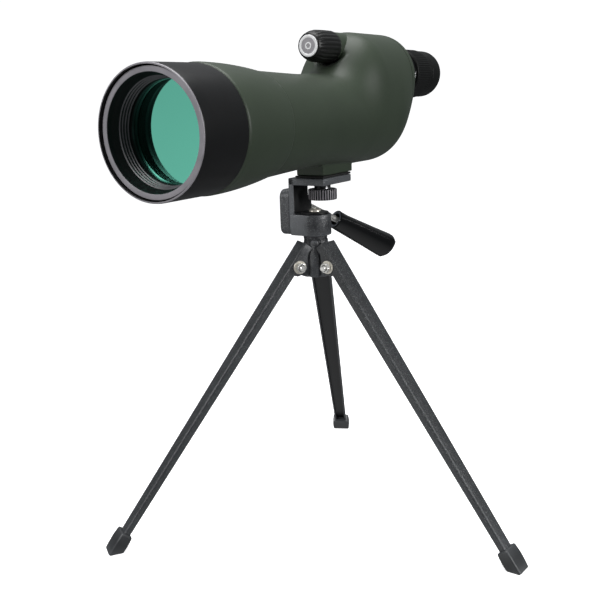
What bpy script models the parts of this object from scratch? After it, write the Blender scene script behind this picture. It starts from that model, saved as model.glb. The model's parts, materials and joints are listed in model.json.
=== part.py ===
"""Straight zoom spotting scope on a folding mini tabletop tripod.

Frame: +Z up, the objective looks along -Y, +X is the right-hand side of the
scope seen from in front of the objective.  The origin is on the table, below
the middle of the whole object.  All lengths are metres.
"""
import math

import bmesh
import bpy
import numpy as np
from mathutils import Matrix, Vector

MM = 0.001
GAP = 0.0003                    # clearance kept between touching pieces

# ---------------------------------------------------------------- dimensions
# whole object: the tripod's pan axis stands at (PAN_X, PAN_Y)
PAN_X, PAN_Y = -0.032465, -0.00720

# scope, lengths along Y are measured from the pan axis
TUBE_H = 303.15 * MM            # height of the objective axis above the table
HOOD_R = 38.9 * MM              # sunshade outer radius (78 mm outside diameter)
HOOD_FRONT = -176.2 * MM
HOOD_REAR = -135.1 * MM
BARREL_R = 37.1 * MM            # inner objective barrel that the sunshade slides on
LENS_R = 31.2 * MM
BELL_FRONT = -134.8 * MM
BELL_REAR = -79.6 * MM
BELL_R0 = 39.5 * MM
BELL_R1 = 35.3 * MM
SHELL_FRONT = -79.3 * MM
SHELL_REAR = 97.2 * MM
COVER_FRONT = 97.5 * MM
COVER_REAR = 106.2 * MM
WALL = 2.4 * MM
EYE_DZ = 33.1 * MM              # eyepiece axis above the objective axis
KNOB_DZ = 52.0 * MM             # focus knob axis above the objective axis
SHADE_TRAVEL = 34.0 * MM

# tripod
PIVOT_H = 198.2 * MM
PIVOT_R = 16.5 * MM             # radius of the leg pivots from the pan axis
LEG_AXIS_R = 20.6 * MM          # radius of a leg's centre line at pivot height
FOOT_R = 167.3 * MM             # radius at which the legs' centre lines meet the table
LEG_AZ = {"rear": 113.74, "left": 233.74, "right": 353.74}
SPLAY = math.atan2(FOOT_R - LEG_AXIS_R, PIVOT_H)
LEG_OFF = (LEG_AXIS_R - PIVOT_R) * math.cos(SPLAY)
DRUM_R = 12.0 * MM
DRUM_Z0, DRUM_Z1 = 220.4 * MM, 235.9 * MM
TILT_Y, TILT_Z = 3.5 * MM, 228.6 * MM
SCREW_Y = 12.0 * MM             # quarter-inch screw axis behind the pan axis
PLAT_Z0, PLAT_Z1 = 256.8 * MM, 262.1 * MM
PAD_Z0, PAD_Z1 = 262.4 * MM, 263.9 * MM
FOOT_BLOCK_Z = 264.2 * MM
HANDLE_START = Vector((-18.3, 15.0, 240.84)) * MM
HANDLE_DIR = Vector((0.4007, 0.7875, -0.4683)).normalized()

# ------------------------------------------------------------------- helpers
for ob in list(bpy.data.objects):
    bpy.data.objects.remove(ob, do_unlink=True)

COLL = bpy.data.collections.new("spotting_scope")
CUTS = bpy.data.collections.new("cutters")
bpy.context.scene.collection.children.link(COLL)
bpy.context.scene.collection.children.link(CUTS)


def material(name, rgb, rough, metal=0.0, alpha=1.0):
    m = bpy.data.materials.new(name)
    m.use_nodes = True
    b = m.node_tree.nodes["Principled BSDF"]
    b.inputs["Base Color"].default_value = (*rgb, 1.0)
    b.inputs["Roughness"].default_value = rough
    b.inputs["Metallic"].default_value = metal
    b.inputs["Alpha"].default_value = alpha
    return m


GREEN = dict(rgb=(0.055, 0.075, 0.048), rough=0.6)
BLACK = dict(rgb=(0.012, 0.012, 0.013), rough=0.38)
BLACK_MATT = dict(rgb=(0.01, 0.01, 0.01), rough=0.8)
CAST = dict(rgb=(0.035, 0.036, 0.042), rough=0.55, metal=0.2)
RUBBER = dict(rgb=(0.012, 0.012, 0.012), rough=0.75)
STEEL = dict(rgb=(0.72, 0.70, 0.66), rough=0.25, metal=1.0)
BRASS = dict(rgb=(0.65, 0.48, 0.2), rough=0.35, metal=1.0)
GLASS = dict(rgb=(0.8, 0.95, 0.9), rough=0.03, alpha=0.4)

BODIES = {}


def body(name, loc, rot=(0.0, 0.0, 0.0)):
    e = bpy.data.objects.new(name + "_axis", None)
    e.empty_display_size = 0.01
    COLL.objects.link(e)
    if "frame" in BODIES:
        e.parent = BODIES["frame"]
    e.location = loc
    e.rotation_euler = rot
    BODIES[name] = e
    return e


def add(name, mesh, look, parent, loc=(0, 0, 0), rot=(0, 0, 0), cutter=False):
    """New object, placed at loc in the pan-axis frame and parented to a body."""
    ob = bpy.data.objects.new(name, mesh)
    (CUTS if cutter else COLL).objects.link(ob)
    par = BODIES[parent]
    ob.parent = par
    if parent == "frame":
        ob.location = loc
    else:
        inv = Matrix.LocRotScale(par.location, par.rotation_euler, None).inverted()
        local = inv @ Matrix.LocRotScale(Vector(loc), Matrix.Rotation(0, 3, "Z").to_quaternion(), None)
        ob.location = local.to_translation()
        ob.rotation_euler = local.to_euler()
    if any(rot):
        if parent == "frame":
            ob.rotation_euler = rot
        else:
            q = ob.rotation_euler.to_quaternion() @ Matrix.LocRotScale(None, _euler(rot), None).to_quaternion()
            ob.rotation_euler = q.to_euler()
    if cutter:
        ob.hide_render = True
        ob.display_type = "WIRE"
    elif look:
        mesh.materials.append(material(name, **look))
    return ob


def _euler(rot):
    from mathutils import Euler
    return Euler(rot)


def add_local(name, mesh, look, parent, cutter=False):
    """New object whose mesh is already in its body's own frame."""
    ob = bpy.data.objects.new(name, mesh)
    (CUTS if cutter else COLL).objects.link(ob)
    ob.parent = BODIES[parent]
    if cutter:
        ob.hide_render = True
        ob.display_type = "WIRE"
    elif look:
        mesh.materials.append(material(name, **look))
    return ob


def mesh_from(bm, name):
    bmesh.ops.recalc_face_normals(bm, faces=bm.faces)
    me = bpy.data.meshes.new(name)
    bm.to_mesh(me)
    bm.free()
    return me


def smooth(ob, angle=35):
    ob.data.shade_smooth()
    ob.data.set_sharp_from_angle(angle=math.radians(angle))
    return ob


AXIS_ROT = {"Z": (0, 0, 0), "Y": (-math.pi / 2, 0, 0), "X": (0, math.pi / 2, 0)}


def turned(name, profile, look, parent, loc, axis="Z", steps=30, ring=False, cutter=False):
    """Turned piece.  profile: (radius, height) pairs in mm, from the top end
    down the outer side; a ring's profile comes back up its bore and closes."""
    bm = bmesh.new()
    vs = [bm.verts.new((r * MM, 0.0, h * MM)) for r, h in profile]
    for a, b in zip(vs, vs[1:]):
        bm.edges.new((a, b))
    if ring:
        bm.edges.new((vs[-1], vs[0]))
    me = bpy.data.meshes.new(name)
    bm.to_mesh(me)
    bm.free()
    ob = add(name, me, look, parent, loc, AXIS_ROT[axis], cutter)
    s = ob.modifiers.new("turn", "SCREW")
    s.axis = "Z"
    s.angle = math.tau
    s.steps = s.render_steps = steps
    s.use_merge_vertices = True
    s.merge_threshold = 0.00001
    s.use_smooth_shade = True
    return ob


def box(name, lo, hi, look, parent, bevel=0.0, seg=2, cutter=False):
    """Box given by its low and high corners in mm, in the pan-axis frame."""
    bm = bmesh.new()
    bmesh.ops.create_cube(bm, size=1.0)
    size = [(b - a) * MM for a, b in zip(lo, hi)]
    mid = [(a + b) / 2 * MM for a, b in zip(lo, hi)]
    bmesh.ops.scale(bm, vec=size, verts=bm.verts)
    me = mesh_from(bm, name)
    ob = add(name, me, look, parent, mid, cutter=cutter)
    if bevel:
        m = ob.modifiers.new("round", "BEVEL")
        m.width = bevel * MM
        m.segments = seg
        m.limit_method = "ANGLE"
    return ob


def extruded(name, pts, length, look, parent, loc, rot=(0, 0, 0), cutter=False):
    """Flat outline (mm, x/y) extruded by length mm along its own +Z."""
    bm = bmesh.new()
    f = bm.faces.new([bm.verts.new((x * MM, y * MM, 0.0)) for x, y in pts])
    r = bmesh.ops.extrude_face_region(bm, geom=[f])
    bmesh.ops.translate(bm, vec=(0, 0, length * MM),
                        verts=[v for v in r["geom"] if isinstance(v, bmesh.types.BMVert)])
    me = mesh_from(bm, name)
    return add(name, me, look, parent, loc, rot, cutter)


def boolean(ob, cutter, op="DIFFERENCE"):
    m = ob.modifiers.new(op.lower(), "BOOLEAN")
    m.operation = op
    m.solver = "EXACT"
    m.object = cutter
    return ob


def loft(name, loops):
    """Closed solid through loops of points (metres)."""
    bm = bmesh.new()
    rows = [[bm.verts.new(p) for p in lp] for lp in loops]
    n = len(rows[0])
    for a, b in zip(rows, rows[1:]):
        for j in range(n):
            k = (j + 1) % n
            bm.faces.new((a[j], a[k], b[k], b[j]))
    bm.faces.new(list(reversed(rows[0])))
    bm.faces.new(rows[-1])
    return mesh_from(bm, name)


# --------------------------------------------------------------- body frames
body("frame", (PAN_X, PAN_Y, 0.0))
body("tripod", (0, 0, 0))
body("pan", (0, 0, DRUM_Z0))
body("tilt", (-0.016, TILT_Y, TILT_Z))
body("sunshade", (0, HOOD_REAR, TUBE_H))
body("focus", (0, 0, TUBE_H + KNOB_DZ))
body("carriage", (0, 0.060, TUBE_H))
body("zoom", (0, 0.141, TUBE_H + EYE_DZ))
body("zoom_cell", (0, 0.125, TUBE_H + EYE_DZ))
body("thumb", (0, SCREW_Y, 0.250))
body("handle", HANDLE_START, HANDLE_DIR.to_track_quat("Z", "Y").to_euler())
for leg, az in LEG_AZ.items():
    a = math.radians(az)
    body("leg_" + leg, (PIVOT_R * math.cos(a), PIVOT_R * math.sin(a), PIVOT_H), (0, -SPLAY, a))

TUBE = (0, 0, TUBE_H)
EYE = (0, 0, TUBE_H + EYE_DZ)
KNOB = (0, 0, TUBE_H + KNOB_DZ)


# ------------------------------------------------- scope: housing cross-section
# The housing is a tapering tube (round the objective axis) blended softly into
# a domed upper lobe that covers the prisms, cut off flat at the rear cover.
LOBE_DZ, LOBE_R = 28.9, 34.4          # mm, upper lobe
LOBE_NOSE, NOSE_STRETCH = 52.5, 1.12
BLEND = 22.3
TUBE_R_FRONT, TUBE_R_MIN, TUBE_R_MID = 34.9, 32.4, 34.7
TAIL_Y, TAIL_LEN = 73.7, 40.4
REAR_EDGE = 5.45
KNOB_SEAT_R = 13.2                    # hollow in the housing's brow that clears the knob


def blend_min(a, b, k):
    h = np.clip(0.5 + 0.5 * (b - a) / k, 0, 1)
    return b * (1 - h) + a * h - k * h * (1 - h)


def housing(x, y, z, cut=True):
    """Signed distance to the housing surface, mm."""
    r = np.where(y < -20, TUBE_R_FRONT + (y + 79.3) * (TUBE_R_MIN - TUBE_R_FRONT) / 59.3,
                 TUBE_R_MIN + (TUBE_R_MID - TUBE_R_MIN) * np.clip((y + 20) / 60, 0, 1))
    t = np.clip((y - TAIL_Y) / TAIL_LEN, 0, 0.999)
    tube = np.sqrt(x * x + z * z) - r * np.sqrt(1 - t * t)
    nose = np.minimum(y - LOBE_NOSE, 0) * NOSE_STRETCH
    lobe = np.sqrt(x * x + (z - LOBE_DZ) ** 2 + nose * nose) - LOBE_R
    f = blend_min(tube, lobe, BLEND)
    seat = np.maximum(np.sqrt(x * x + (z - KNOB_DZ / MM) ** 2) - KNOB_SEAT_R, y - 27.4)
    f = -blend_min(-f, seat, 3.0)
    return -blend_min(-f, -(y - COVER_REAR / MM), REAR_EDGE) if cut else f


def section(y, offset, n=30, cut=True):
    """Outline of the housing at station y, moved in by offset (mm -> metres)."""
    ang = np.arange(n) * math.tau / n + 0.5 * math.tau / n
    zc = 14.0 * np.clip((y + 10) / 50, 0, 1)
    lo, hi = np.zeros(n), np.full(n, 80.0)
    for _ in range(40):
        m = (lo + hi) / 2
        inside = housing(m * np.cos(ang), np.full(n, float(y)), zc + m * np.sin(ang), cut) + offset < 0
        lo = np.where(inside, m, lo)
        hi = np.where(inside, hi, m)
    return [(r * math.cos(a) * MM, y * MM, (zc + r * math.sin(a)) * MM + TUBE_H)
            for r, a in zip(lo, ang)]


def stations(a, b, n):
    return [a + (b - a) * i / n for i in range(n + 1)]


# ---------------------------------------------------------------- scope: shell
ys = [-79.3, -30, -14, -4, 4, 12, 19, 24, 27.3, 31, 36, 43, 52, 66, 77, 86, 92, 97.2]
shell = add("body_shell", loft("body_shell", [section(y, 0.0) for y in ys]), GREEN, "tilt")
shell.location = -BODIES["tilt"].location
shell.rotation_euler = (0, 0, 0)
ys_in = [-80.3] + ys[1:-1] + [98.2]
cav = add("body_cavity", loft("body_cavity", [section(y, WALL / MM, 24, False) for y in ys_in]), None,
          "tilt", cutter=True)
cav.location = -BODIES["tilt"].location
knob_boss = turned("knob_boss", [(0, 52), (10.6, 52), (10.6, 27.4), (9.8, 26.2), (0, 26.2)], None,
                   "tilt", KNOB, "Y", 24, cutter=True)
foot_block = box("foot_block", (-11.6, -5.6, 264.2), (11.6, 38.0, 276.5), None, "tilt", cutter=True)
knob_bore = turned("knob_bore", [(0, 53), (6.0, 53), (6.0, 25), (0, 25)], None, "tilt", KNOB, "Y", 18,
                   cutter=True)
insert_bore = turned("insert_bore", [(0, 9.2), (5.2, 9.2), (5.2, -1), (0, -1)], None, "tilt",
                     (0, SCREW_Y, FOOT_BLOCK_Z), "Z", 14, cutter=True)
boolean(shell, knob_boss, "UNION")
boolean(shell, cav)
boolean(shell, foot_block, "UNION")
boolean(shell, knob_bore)
boolean(shell, insert_bore)

# spigot that joins the front bell to the shell
turned("tube_joint_ring", [(31.9, -72.0), (31.9, -96.0), (29.9, -96.0), (29.9, -72.0)], BLACK_MATT,
       "tilt", TUBE, "Y", 30, ring=True)

cover = add("rear_cover", loft("rear_cover", [section(y, 0.0) for y in
                                              (97.5, 101.5, 104.0, 105.6)]
                               + [section(106.199, 0.9)]), GREEN, "tilt")
cover.location = -BODIES["tilt"].location
eye_hole = turned("eye_hole", [(0, 120), (16.3, 120), (16.3, 90), (0, 90)], None, "tilt", EYE, "Y", 24,
                  cutter=True)
boolean(cover, eye_hole)

bell = []
for i in range(7):
    y = -132.0 + 52.4 * i / 6
    bell.append((39.5 - 4.2 * ((y + 132.0) / 52.4) ** 1.9, y))
bell_out = list(reversed(bell)) + [(39.25, -133.9), (38.9, -134.8)]
turned("objective_bell", bell_out + [(37.4, -134.8), (37.4, -111.6), (32.3, -111.6), (32.3, -79.6)],
       GREEN, "tilt", TUBE, "Y", 30, ring=True)

# --------------------------------------------------------- scope: objective end
turned("sunshade", [(38.9, -135.1), (38.9, -175.2), (38.3, -176.2), (37.9, -176.2), (37.6, -175.6),
                    (37.6, -135.1)], BLACK, "sunshade", TUBE, "Y", 30, ring=True)
turned("objective_barrel", [(36.6, -112.0), (37.1, -112.6), (37.1, -173.5), (36.7, -174.1), (34.0, -174.1),
                            (33.6, -173.7), (33.4, -170.7), (31.7, -167.0), (31.6, -140.7), (29.6, -140.7),
                            (29.6, -137.4), (32.5, -137.4), (32.5, -112.0)],
       BLACK, "tilt", TUBE, "Y", 30, ring=True)
turned("objective_retaining_ring", [(31.3, -155.1), (31.3, -157.9), (29.9, -157.9), (29.9, -155.1)],
       BLACK_MATT, "tilt", TUBE, "Y", 30, ring=True)


def lens(name, r, y_front, sag_front, y_rear, sag_rear, parent, loc, steps=24, n=3):
    """Lens blank: sag > 0 bulges outwards on that side (mm)."""
    front, rear = [], []
    for i in range(n + 1):
        q = i / n
        front.append((r * q, y_front - sag_front * (1 - q * q)))
        rear.append((r * q, y_rear + sag_rear * (1 - q * q)))
    prof = rear + list(reversed(front))
    return turned(name, prof, GLASS, parent, loc, "Y", steps)


lens("objective_front_lens", 31.2, -154.7, 2.2, -146.4, 2.2, "tilt", TUBE)
lens("objective_rear_lens", 31.2, -146.1, -2.2, -141.0, 0.6, "tilt", TUBE)
turned("light_baffle_front", [(30.9, -56.0), (30.9, -57.5), (25.0, -57.5), (25.0, -56.0)], BLACK_MATT,
       "tilt", TUBE, "Y", 24, ring=True)
turned("light_baffle_rear", [(29.3, -19.0), (29.3, -20.5), (19.0, -20.5), (19.0, -19.0)], BLACK_MATT,
       "tilt", TUBE, "Y", 24, ring=True)


# ----------------------------------------------------------- scope: prism train
def porro(name, cx, cz, ang, y_face, direction, length, width, parent):
    """Right-angle prism, long face in the plane y_face, roof edge towards direction."""
    h = length / 2
    pts = [(-h, 0.0), (h, 0.0), (h * 0.12, direction * h * 0.88), (-h * 0.12, direction * h * 0.88)]
    if direction < 0:
        pts.reverse()
    bm = bmesh.new()
    f = bm.faces.new([bm.verts.new((x * MM, y * MM, 0)) for x, y in pts])
    r = bmesh.ops.extrude_face_region(bm, geom=[f])
    bmesh.ops.translate(bm, vec=(0, 0, width * MM),
                        verts=[v for v in r["geom"] if isinstance(v, bmesh.types.BMVert)])
    bmesh.ops.translate(bm, vec=(0, 0, -width / 2 * MM), verts=bm.verts)
    bmesh.ops.rotate(bm, cent=(0, 0, 0), matrix=Matrix.Rotation(-math.radians(ang), 3, "Y"), verts=bm.verts)
    me = mesh_from(bm, name)
    return add(name, me, GLASS, parent, (cx * MM, y_face * MM, TUBE_H + cz * MM))


porro("prism_rear", 8.3, 8.3, 45, 72.9, 1, 41.0, 18.0, "tilt")
porro("prism_front", 8.3, 24.8, 135, 59.6, -1, 41.0, 18.0, "carriage")


def plate(name, y0, y1, outline, holes, look, parent):
    ob = extruded(name, outline, y1 - y0, look, parent, (0, y1 * MM, TUBE_H), (math.pi / 2, 0, 0))
    for i, (x, z, r, st) in enumerate(holes):
        c = turned(f"{name}_hole_{i}", [(0, y1 + 2), (r, y1 + 2), (r, y0 - 2), (0, y0 - 2)], None, parent,
                   (x * MM, 0, TUBE_H + z * MM), "Y", st, cutter=True)
        boolean(ob, c)
    return ob


def oval(x0, x1, z0, z1, c):
    return [(x0 + c, z0), (x1 - c, z0), (x1, z0 + c), (x1, z1 - c), (x1 - c, z1), (x0 + c, z1),
            (x0, z1 - c), (x0, z0 + c)]


plate("prism_plate", 70.0, 72.6, oval(-20, 29, -14, 46, 9), [(0, 0, 9.0, 14), (16.5, 16.5, 9.0, 14),
                                                         (0, 33.1, 9.0, 14)], BLACK_MATT, "tilt")
plate("prism_carriage", 59.9, 62.4,
      [(-12, 2), (18, 2), (27, 11), (27, 38), (20, 48), (8, 57.5), (-8, 57.5), (-18, 44), (-20, 38), (-20, 10)],
      [(16.5, 16.5, 9.0, 14), (0, 33.1, 9.0, 14), (0, 52.0, 3.2, 10), (-15.5, 14.0, 1.7, 8),
       (20.0, 38.0, 1.7, 8)], BLACK_MATT, "carriage")
rods = []
for i, (x, z) in enumerate(((-15.5, 14.0), (20.0, 38.0))):
    rods.append(turned("guide_rod_left" if i == 0 else "guide_rod_right",
                       [(0, 69.7), (1.5, 69.7), (1.5, 44.0), (0, 44.0)], STEEL, "tilt",
                       (x * MM, 0, TUBE_H + z * MM), "Y", 10))
turned("focus_nut", [(5.0, 67.0), (5.0, 62.7), (3.0, 62.7), (3.0, 67.0)], BRASS, "carriage", KNOB, "Y", 14,
       ring=True)

# ------------------------------------------------------------ scope: focus knob
turned("focus_shaft", [(0, 76.0), (2.8, 76.0), (2.8, 8.0), (0, 8.0)], STEEL, "focus", KNOB, "Y", 12)
turned("focus_bushing", [(5.7, 46.0), (5.7, 27.2), (3.0, 27.2), (3.0, 46.0)], BRASS, "tilt", KNOB, "Y", 18,
       ring=True)
turned("focus_knob", [(0, 7.7), (3.1, 7.7), (3.1, 25.8), (10.6, 25.8), (11.3, 25.2), (11.5, 20),
                      (11.5, 6.5), (11.1, 3.0), (10.2, 0.0), (8.9, -2.4), (8.2, -3.0), (7.9, -3.0),
                      (7.9, -1.9), (0, -1.9)], BLACK, "focus", KNOB, "Y", 18)
turned("focus_knob_cap", [(0, -2.2), (7.65, -2.2), (7.65, -3.0), (7.3, -3.3), (0, -3.3)],
       dict(rgb=(0.8, 0.8, 0.8), rough=0.35), "focus", KNOB, "Y", 24)

# -------------------------------------------------------------- scope: eyepiece
turned("eyepiece_barrel", [(14.6, 179.0), (14.6, 169.6), (16.5, 169.6), (16.5, 141.0), (18.0, 141.0),
                           (18.5, 140.4), (18.5, 108.0), (18.1, 107.6), (15.9, 107.6), (15.9, 95.5),
                           (13.2, 95.5), (13.2, 179.0)],
       BLACK, "tilt", EYE, "Y", 30, ring=True)
turned("eyepiece_seal", [(18.2, 107.3), (18.2, 106.5), (16.5, 106.5), (16.5, 107.3)], RUBBER, "tilt", EYE,
       "Y", 24, ring=True)
turned("zoom_ring", [(19.3, 169.2), (20.3, 168.2), (20.3, 142.3), (19.6, 141.4), (16.9, 141.4),
                     (16.9, 169.2)], RUBBER, "zoom", EYE, "Y", 24, ring=True)
turned("eyecup", [(18.2, 190.6), (19.3, 189.6), (19.6, 187.6), (19.6, 171.0), (19.0, 169.8), (15.0, 169.8),
                  (15.0, 179.4), (13.4, 180.4), (13.4, 182.0), (16.2, 189.8), (16.9, 190.6)],
       RUBBER, "tilt", EYE, "Y", 30, ring=True)
lens("eye_lens", 12.9, 171.0, 1.6, 175.5, 1.0, "tilt", EYE, 28, 3)
lens("field_lens", 12.9, 98.5, 1.2, 102.5, 1.0, "tilt", EYE, 28, 3)
turned("zoom_lens_cell", [(12.9, 131.0), (12.9, 121.0), (10.6, 121.0), (10.6, 131.0)], BLACK_MATT,
       "zoom_cell", EYE, "Y", 24, ring=True)
lens("zoom_lens", 10.3, 124.0, 1.0, 127.5, 1.2, "zoom_cell", EYE, 28, 3)

turned("tripod_insert", [(4.9, 8.6), (4.9, 0.4), (3.3, 0.4), (3.3, 8.6)], BRASS, "tilt",
       (0, SCREW_Y, FOOT_BLOCK_Z), "Z", 14, ring=True)

# ------------------------------------------------------------------ tripod head
bracket = box("tilt_bracket", (-18.6, -6.5, 256.8), (12.0, 35.0, 262.1), CAST, "tilt")
arm = box("bracket_arm", (-18.6, -6.5, 243.0), (-14.0, 14.0, 259.2), None, "tilt", cutter=True)
boolean(bracket, arm, "UNION")


def side_plate(name, x0, x1, y0, y1, z0, z1, c, cutter=True):
    """Rounded plate standing in the Y-Z plane."""
    pts = []
    for cy, cz, a0 in ((y1 - c, z1 - c, 0), (y0 + c, z1 - c, 90), (y0 + c, z0 + c, 180), (y1 - c, z0 + c, 270)):
        for k in range(4):
            a = math.radians(a0 + 30 * k)
            pts.append((cy + c * math.cos(a), cz + c * math.sin(a)))
    bm = bmesh.new()
    f = bm.faces.new([bm.verts.new((x0 * MM, y * MM, z * MM)) for y, z in pts])
    r = bmesh.ops.extrude_face_region(bm, geom=[f])
    bmesh.ops.translate(bm, vec=((x1 - x0) * MM, 0, 0),
                        verts=[v for v in r["geom"] if isinstance(v, bmesh.types.BMVert)])
    ob = add(name, mesh_from(bm, name), None, "tilt", cutter=cutter)
    ob.location = -BODIES["tilt"].location
    return ob


boolean(bracket, side_plate("bracket_arm_low", -18.6, -14.0, -6.5, 19.0, 219.3, 247.6, 5.0), "UNION")
boolean(bracket, side_plate("bracket_ear", -27.1, -18.4, -6.4, 18.9, 219.2, 253.3, 6.0), "UNION")
rod_hole = turned("rod_hole", [(0, 12), (2.7, 12), (2.7, 0.5), (0, 0.5)], None, "handle", HANDLE_START, "Z", 12,
                  cutter=True)
rod_hole.location = (0, 0, 0)
rod_hole.rotation_euler = (0, 0, 0)
boolean(bracket, rod_hole)
boolean(bracket, turned("tilt_hole", [(0, -10), (2.75, -10), (2.75, -40), (0, -40)], None, "tilt",
                        (0, TILT_Y, TILT_Z), "X", 12, cutter=True))
boolean(bracket, turned("tilt_head_hole", [(0, -24.0), (5.1, -24.0), (5.1, -30), (0, -30)], None, "tilt",
                        (0, TILT_Y, TILT_Z), "X", 14, cutter=True))
boolean(bracket, turned("screw_hole", [(0, 270), (3.5, 270), (3.5, 250), (0, 250)], None, "tilt",
                        (0, SCREW_Y, 0), "Z", 14, cutter=True))

pad = box("platform_pad", (-12.4, -6.2, 262.4), (11.8, 34.8, 263.9), RUBBER, "tilt")
boolean(pad, turned("pad_hole", [(0, 270), (3.5, 270), (3.5, 250), (0, 250)], None, "tilt",
                    (0, SCREW_Y, 0), "Z", 14, cutter=True))

turned("camera_screw", [(0, 270.2), (2.6, 270.2), (3.05, 269.7), (3.05, 248.2), (0, 248.2)], STEEL,
       "thumb", (0, SCREW_Y, 0), "Z", 14)
turned("thumb_wheel", [(0, 247.8), (3.35, 247.8), (3.35, 256.4), (5.2, 256.4), (5.2, 253.0), (10.2, 253.0),
                       (10.8, 252.4), (10.8, 245.5), (10.3, 245.0), (0, 245.0)], CAST, "thumb",
       (0, SCREW_Y, 0), "Z", 18)

drum_rows = []
for z, inset in ((220.4, 0.5), (220.9, 0.0), (235.4, 0.0), (235.9, 0.5)):
    q = DRUM_R / MM - inset
    arc = [(q * math.cos(math.radians(-90 + 12 * k)), q * math.sin(math.radians(-90 + 12 * k))) for k in range(16)]
    drum_rows.append([(x * MM, y * MM, z * MM) for x, y in arc + [(-13.7, q), (-13.7, -q)]])
drum = add("pan_drum", loft("pan_drum", drum_rows), CAST, "pan", (0, 0, 0))
boolean(drum, turned("drum_bore", [(0, 240), (3.3, 240), (3.3, 215), (0, 215)], None, "pan", (0, 0, 0),
                     "Z", 14, cutter=True))
boolean(drum, turned("drum_side_bore", [(0, -5.5), (2.75, -5.5), (2.75, -20), (0, -20)], None, "pan",
                     (0, TILT_Y, TILT_Z), "X", 12, cutter=True))
turned("pan_disc", [(9.9, 237.3), (10.3, 236.9), (10.3, 236.2), (3.3, 236.2), (3.3, 237.3)],
       BLACK_MATT, "pan", (0, 0, 0), "Z", 24, ring=True)
pscrew = turned("pan_screw", [(0, 239.7), (2.4, 239.5), (3.9, 238.7), (4.4, 237.6), (3.0, 237.6),
                              (3.0, 206.0), (0, 206.0)], STEEL, "pan", (0, 0, 0), "Z", 14)
boolean(pscrew, box("cross_slot_a", (-2.6, -0.55, 238.6), (2.6, 0.55, 242), None, "pan", cutter=True))
boolean(pscrew, box("cross_slot_b", (-0.55, -2.6, 238.6), (0.55, 2.6, 242), None, "pan", cutter=True))
turned("tilt_pivot_screw", [(0, -6.0), (2.45, -6.0), (2.45, -24.3), (4.8, -24.3), (4.8, -26.2), (4.2, -26.6),
                            (0, -26.6)], STEEL, "pan", (0, TILT_Y, TILT_Z), "X", 14)

# ---------------------------------------------------------------------- handle
turned_rod = turned("handle_rod", [(0, 50.0), (2.4, 50.0), (2.4, 1.0), (0, 1.0)], STEEL, "handle",
                    HANDLE_START, "Z", 12)
turned_rod.location = (0, 0, 0)
turned_rod.rotation_euler = (0, 0, 0)


def lobed(r, lobes, depth, n=24):
    return [(r * (1 - depth * (0.5 - 0.5 * math.cos(lobes * (math.tau * i / n)))) * math.cos(math.tau * i / n),
             r * (1 - depth * (0.5 - 0.5 * math.cos(lobes * (math.tau * i / n)))) * math.sin(math.tau * i / n))
            for i in range(n)]


grip_rows = []
for h, r in ((31.9, 6.9), (32.5, 7.7), (48.0, 8.7), (66.0, 9.8), (82.0, 11.0), (86.6, 11.1), (89.2, 10.1),
             (90.3, 8.4)):
    grip_rows.append([(x * MM, y * MM, h * MM) for x, y in lobed(r, 3, 0.17)])
grip = add_local("handle_grip", loft("handle_grip", grip_rows), BLACK, "handle")
grip_socket = turned("grip_socket", [(0, 50.4), (2.7, 50.4), (2.7, 28), (0, 28)], None, "handle",
                     HANDLE_START, "Z", 12, cutter=True)
grip_mouth = turned("grip_mouth", [(0, 36.5), (4.8, 36.5), (4.8, 28), (0, 28)], None, "handle",
                    HANDLE_START, "Z", 14, cutter=True)
for c in (grip_socket, grip_mouth):
    c.location = (0, 0, 0)
    c.rotation_euler = (0, 0, 0)
    boolean(grip, c)

# ------------------------------------------------------------------- tripod hub
hub = turned("tripod_hub", [(0, 220.1), (7.6, 220.1), (8.2, 219.5), (8.2, 215.5), (7.9, 213.0), (7.9, 191.5),
                            (7.4, 189.2), (0, 189.2)], CAST, "tripod", (0, 0, 0), "Z", 24)


def radial_box(name, az, lo, hi, cutter=True):
    ob = box(name, lo, hi, None, "tripod", cutter=cutter)
    a = math.radians(az)
    mid = Vector([(p + q) / 2 * MM for p, q in zip(lo, hi)])
    ob.location = Matrix.Rotation(a, 3, "Z") @ mid
    ob.rotation_euler = (0, 0, a)
    return ob


for leg, az in LEG_AZ.items():
    a = math.radians(az)
    pts = [(4.0, 213.0), (4.0, 190.5), (12.0, 190.5), (19.6, 194.7), (21.0, 198.8), (19.0, 202.5), (13.0, 210.5)]
    bm = bmesh.new()
    f = bm.faces.new([bm.verts.new((x * MM, -6.0 * MM, z * MM)) for x, z in pts])
    r = bmesh.ops.extrude_face_region(bm, geom=[f])
    bmesh.ops.translate(bm, vec=(0, 12.0 * MM, 0),
                        verts=[v for v in r["geom"] if isinstance(v, bmesh.types.BMVert)])
    lugo = add("hub_lug_" + leg, mesh_from(bm, "hub_lug_" + leg), None, "tripod", cutter=True)
    lugo.rotation_euler = (0, 0, a)
    boolean(hub, lugo, "UNION")
    boolean(hub, radial_box("hub_rib_" + leg, az + 60, (5.0, -1.9, 189.5), (11.8, 1.9, 205.5)), "UNION")
for leg, az in LEG_AZ.items():
    a = math.radians(az)
    bore = turned("pivot_bore_" + leg, [(0, 15), (2.3, 15), (2.3, -15), (0, -15)], None, "tripod",
                  (PIVOT_R * math.cos(a), PIVOT_R * math.sin(a), PIVOT_H), "Y", 12, cutter=True)
    bore.rotation_euler = (-math.pi / 2, 0, a)
    boolean(hub, bore)
boolean(hub, turned("hub_bore", [(0, 225), (3.3, 225), (3.3, 203), (0, 203)], None, "tripod", (0, 0, 0),
                    "Z", 12, cutter=True))


def round_bar(rows, n=12):
    """Small turned solid along +Y: rows of (y, r) in mm."""
    loops = [[(r * MM * math.sin(math.tau * j / n), y * MM, r * MM * math.cos(math.tau * j / n))
              for j in range(n)] for y, r in rows]
    return loft("bar", loops)


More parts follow.
